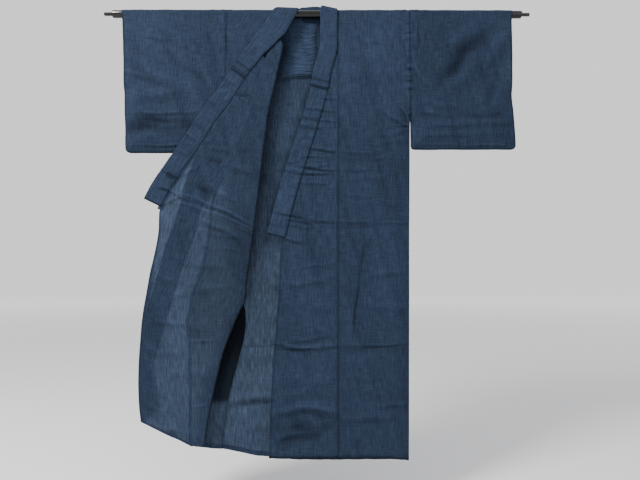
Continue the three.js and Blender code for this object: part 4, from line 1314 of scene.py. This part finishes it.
# painted shade: dark lines just beyond the second layer's ends and at the collar's own ends;
# painted light makes the collar brighter, a little more at its closed end, less from the neck on
beyond = 0.75 * (bell(at - starts + 3, 4) + bell(ends - at + 3, 4))
shade = 1.2 + 0.06 * smooth(number, 1.35, 1.0) - 0.08 * smooth(number, 24, NECK_ENDS)
shade = shade * (1 - beyond) * (1 - 0.85 * bell(near_end, 4.5))
tube = folded_round(rows, COLLAR_REACH, COLLAR_OUT, np.sqrt(smooth(near_end, -0.5, 6)))
piece(
    "collar_cloth",
    [layer(tube, -1, tube_shade(tube, number, shade)), layer(neck_allowance(), 1, 0.7)],
    CREPE, ["collar"],
)
covered = (number >= COVERED[0]) & (number <= COVERED[1])
near_end = COLLAR_STEP * from_ends(covered.sum())
out = 0.5 + 0.5 * np.sqrt(smooth(near_end, -0.5, 3)) + 0.2 * bell(near_end - 27, 5)
# painted shade: dark lines 22 mm inside the second layer's ends and at its ends; painted light
# makes it brighter
shade = 1.18 - 0.85 * bell(near_end - 22, 2.6) - 0.8 * bell(near_end, 3)
wrap = folded_round(rows[covered], OVER_COLLAR_REACH, OVER_COLLAR_OUT, out)
piece(
    "over_collar_cloth",
    [layer(wrap, -1, tube_shade(wrap, number[covered], shade))],
    CREPE, ["over_collar"],
)

# the shoulder patch and the rod
patch = patch_wall(spread(-PATCH_HALF, PATCH_HALF, 4)[None, :], spread(0, 1, 1 / 150)[:, None])
crosswise = cloth_coordinates(patch)[..., ::-1]
hem = doubled(patch[-7:], 0.7)
piece(
    "shoulder_patch_cloth",
    [
        # painted light makes the patch brighter and lets more light through, with painted shade
        # from the collar's edge and the fold on it
        (patch, crosswise, 1.45 * edge_shadows(patch), 1.4, -1),
        (hem, crosswise[-7:], 0.8, 0.8, -1),
    ],
    CREPE, ["shoulder_patch"],
)
piece("rod_lacquered", [layer(rod(), 1)], LACQUER, ["rod"])

CUTS = {
    # finished width and length of what shows, in metres, and the cut's flat area where it tapers
    "body_left": (0.307, 2.92, 0.80),
    "body_right": (0.307, 2.92, 0.80),
    "okumi_left": (0.218, 1.307, 0.20),
    "okumi_right": (0.218, 1.307, 0.20),
    "sleeve_left": (0.349, 0.932, None),
    "sleeve_right": (0.349, 0.952, None),
    "collar": (0.116, 1.98, None),
    "over_collar": (0.118, 0.84, None),
    "shoulder_patch": (0.330, 0.225, None),
}
for name, (width, length, area) in CUTS.items():
    on = "body_left_cloth" if name in ("okumi_left", "shoulder_patch") else "rod"
    on = "body_right_cloth" if name == "okumi_right" else on


# ---------- camera, floor and lamps ----------
CAMERA_AT = (-9.475, -1573.1, -879.2)
CAMERA_TURNED = (4.166, 0.529, -0.207)  # pitch, turn and roll in degrees
SENSOR = 36
LENS = 27.16875
FLOOR_HALF, FLOOR_AT = 15.0, -1.6
FLOOR_CORNERS = ((-1, -1), (1, -1), (1, 1), (-1, 1))
PALE = (0.80, 0.80, 0.82, 1)


def camera():
    """The camera, by where it stands and by how far it is pitched, turned and rolled."""
    pitch, yaw, roll = (math.radians(a) for a in CAMERA_TURNED)
    level = math.cos(pitch)
    ahead = np.array([math.sin(yaw) * level, math.cos(yaw) * level, math.sin(pitch)])
    right = np.cross(ahead, [0, 0, 1])
    right /= np.linalg.norm(right)
    up = np.cross(right, ahead)
    matrix = np.eye(4)
    matrix[:3, 0] = math.cos(roll) * right + math.sin(roll) * up
    matrix[:3, 1] = math.cos(roll) * up - math.sin(roll) * right
    matrix[:3, 2] = -ahead
    matrix[:3, 3] = np.array(CAMERA_AT) * MM
    data = bpy.data.cameras.new("camera")
    data.sensor_width = SENSOR
    data.lens = LENS
    made = add_object("camera", data)
    made.matrix_world = Matrix(matrix.tolist())
    bpy.context.scene.camera = made


def light(name, place, target, size, power, colour):
    """A square area lamp that looks at a point."""
    data = bpy.data.lights.new(name, "AREA")
    data.shape = "SQUARE"
    data.size = size
    data.energy = power
    data.color = colour
    made = add_object(name, data)
    made.location = place
    made.rotation_euler = (Vector(target) - Vector(place)).to_track_quat("-Z", "Y").to_euler()


def studio():
    """Pale floor, which glows with painted light far off so that it fades into pale surroundings,
    and soft lamps.
    """
    corners = [(x * FLOOR_HALF, y * FLOOR_HALF, FLOOR_AT) for x, y in FLOOR_CORNERS]
    mesh = bpy.data.meshes.new("floor")
    mesh.from_pydata(corners, [], [(0, 1, 2, 3)])
    floor = add_object("floor", mesh)
    material, tree = new_material("pale floor")
    place = put(tree, "TexCoord").outputs["Object"]
    away = put(tree, "VectorMath", {"operation": "LENGTH"}, i0=place).outputs["Value"]
    # painted light: the floor glows more the farther it is from the middle
    painted_far_glow = put(
        tree, "MapRange", **{"Value": away, "From Min": 3.0, "From Max": 12.0, "To Max": 0.5}
    )
    paint = put(tree, "BsdfPrincipled", **{
        "Base Color": (0.66, 0.665, 0.67, 1), "Roughness": 0.9,
        "Emission Color": PALE, "Emission Strength": painted_far_glow.outputs[0],
    })
    put(tree, "OutputMaterial", Surface=paint.outputs[0])
    mesh.materials.append(material)
    world = bpy.data.worlds.new("studio")
    bpy.context.scene.world = world
    world.use_nodes = True
    around = world.node_tree.nodes["Background"]
    around.inputs["Color"].default_value = PALE
    around.inputs["Strength"].default_value = 1.4
    light("key", (-2.5, -2.0, 1.5), (0, 0, -0.75), 1.1, 290, (1.0, 0.98, 0.95))
    light("fill", (2.4, -2.2, 0.2), (0, 0, -0.8), 2.0, 18, (0.95, 0.97, 1.0))


camera()
studio()
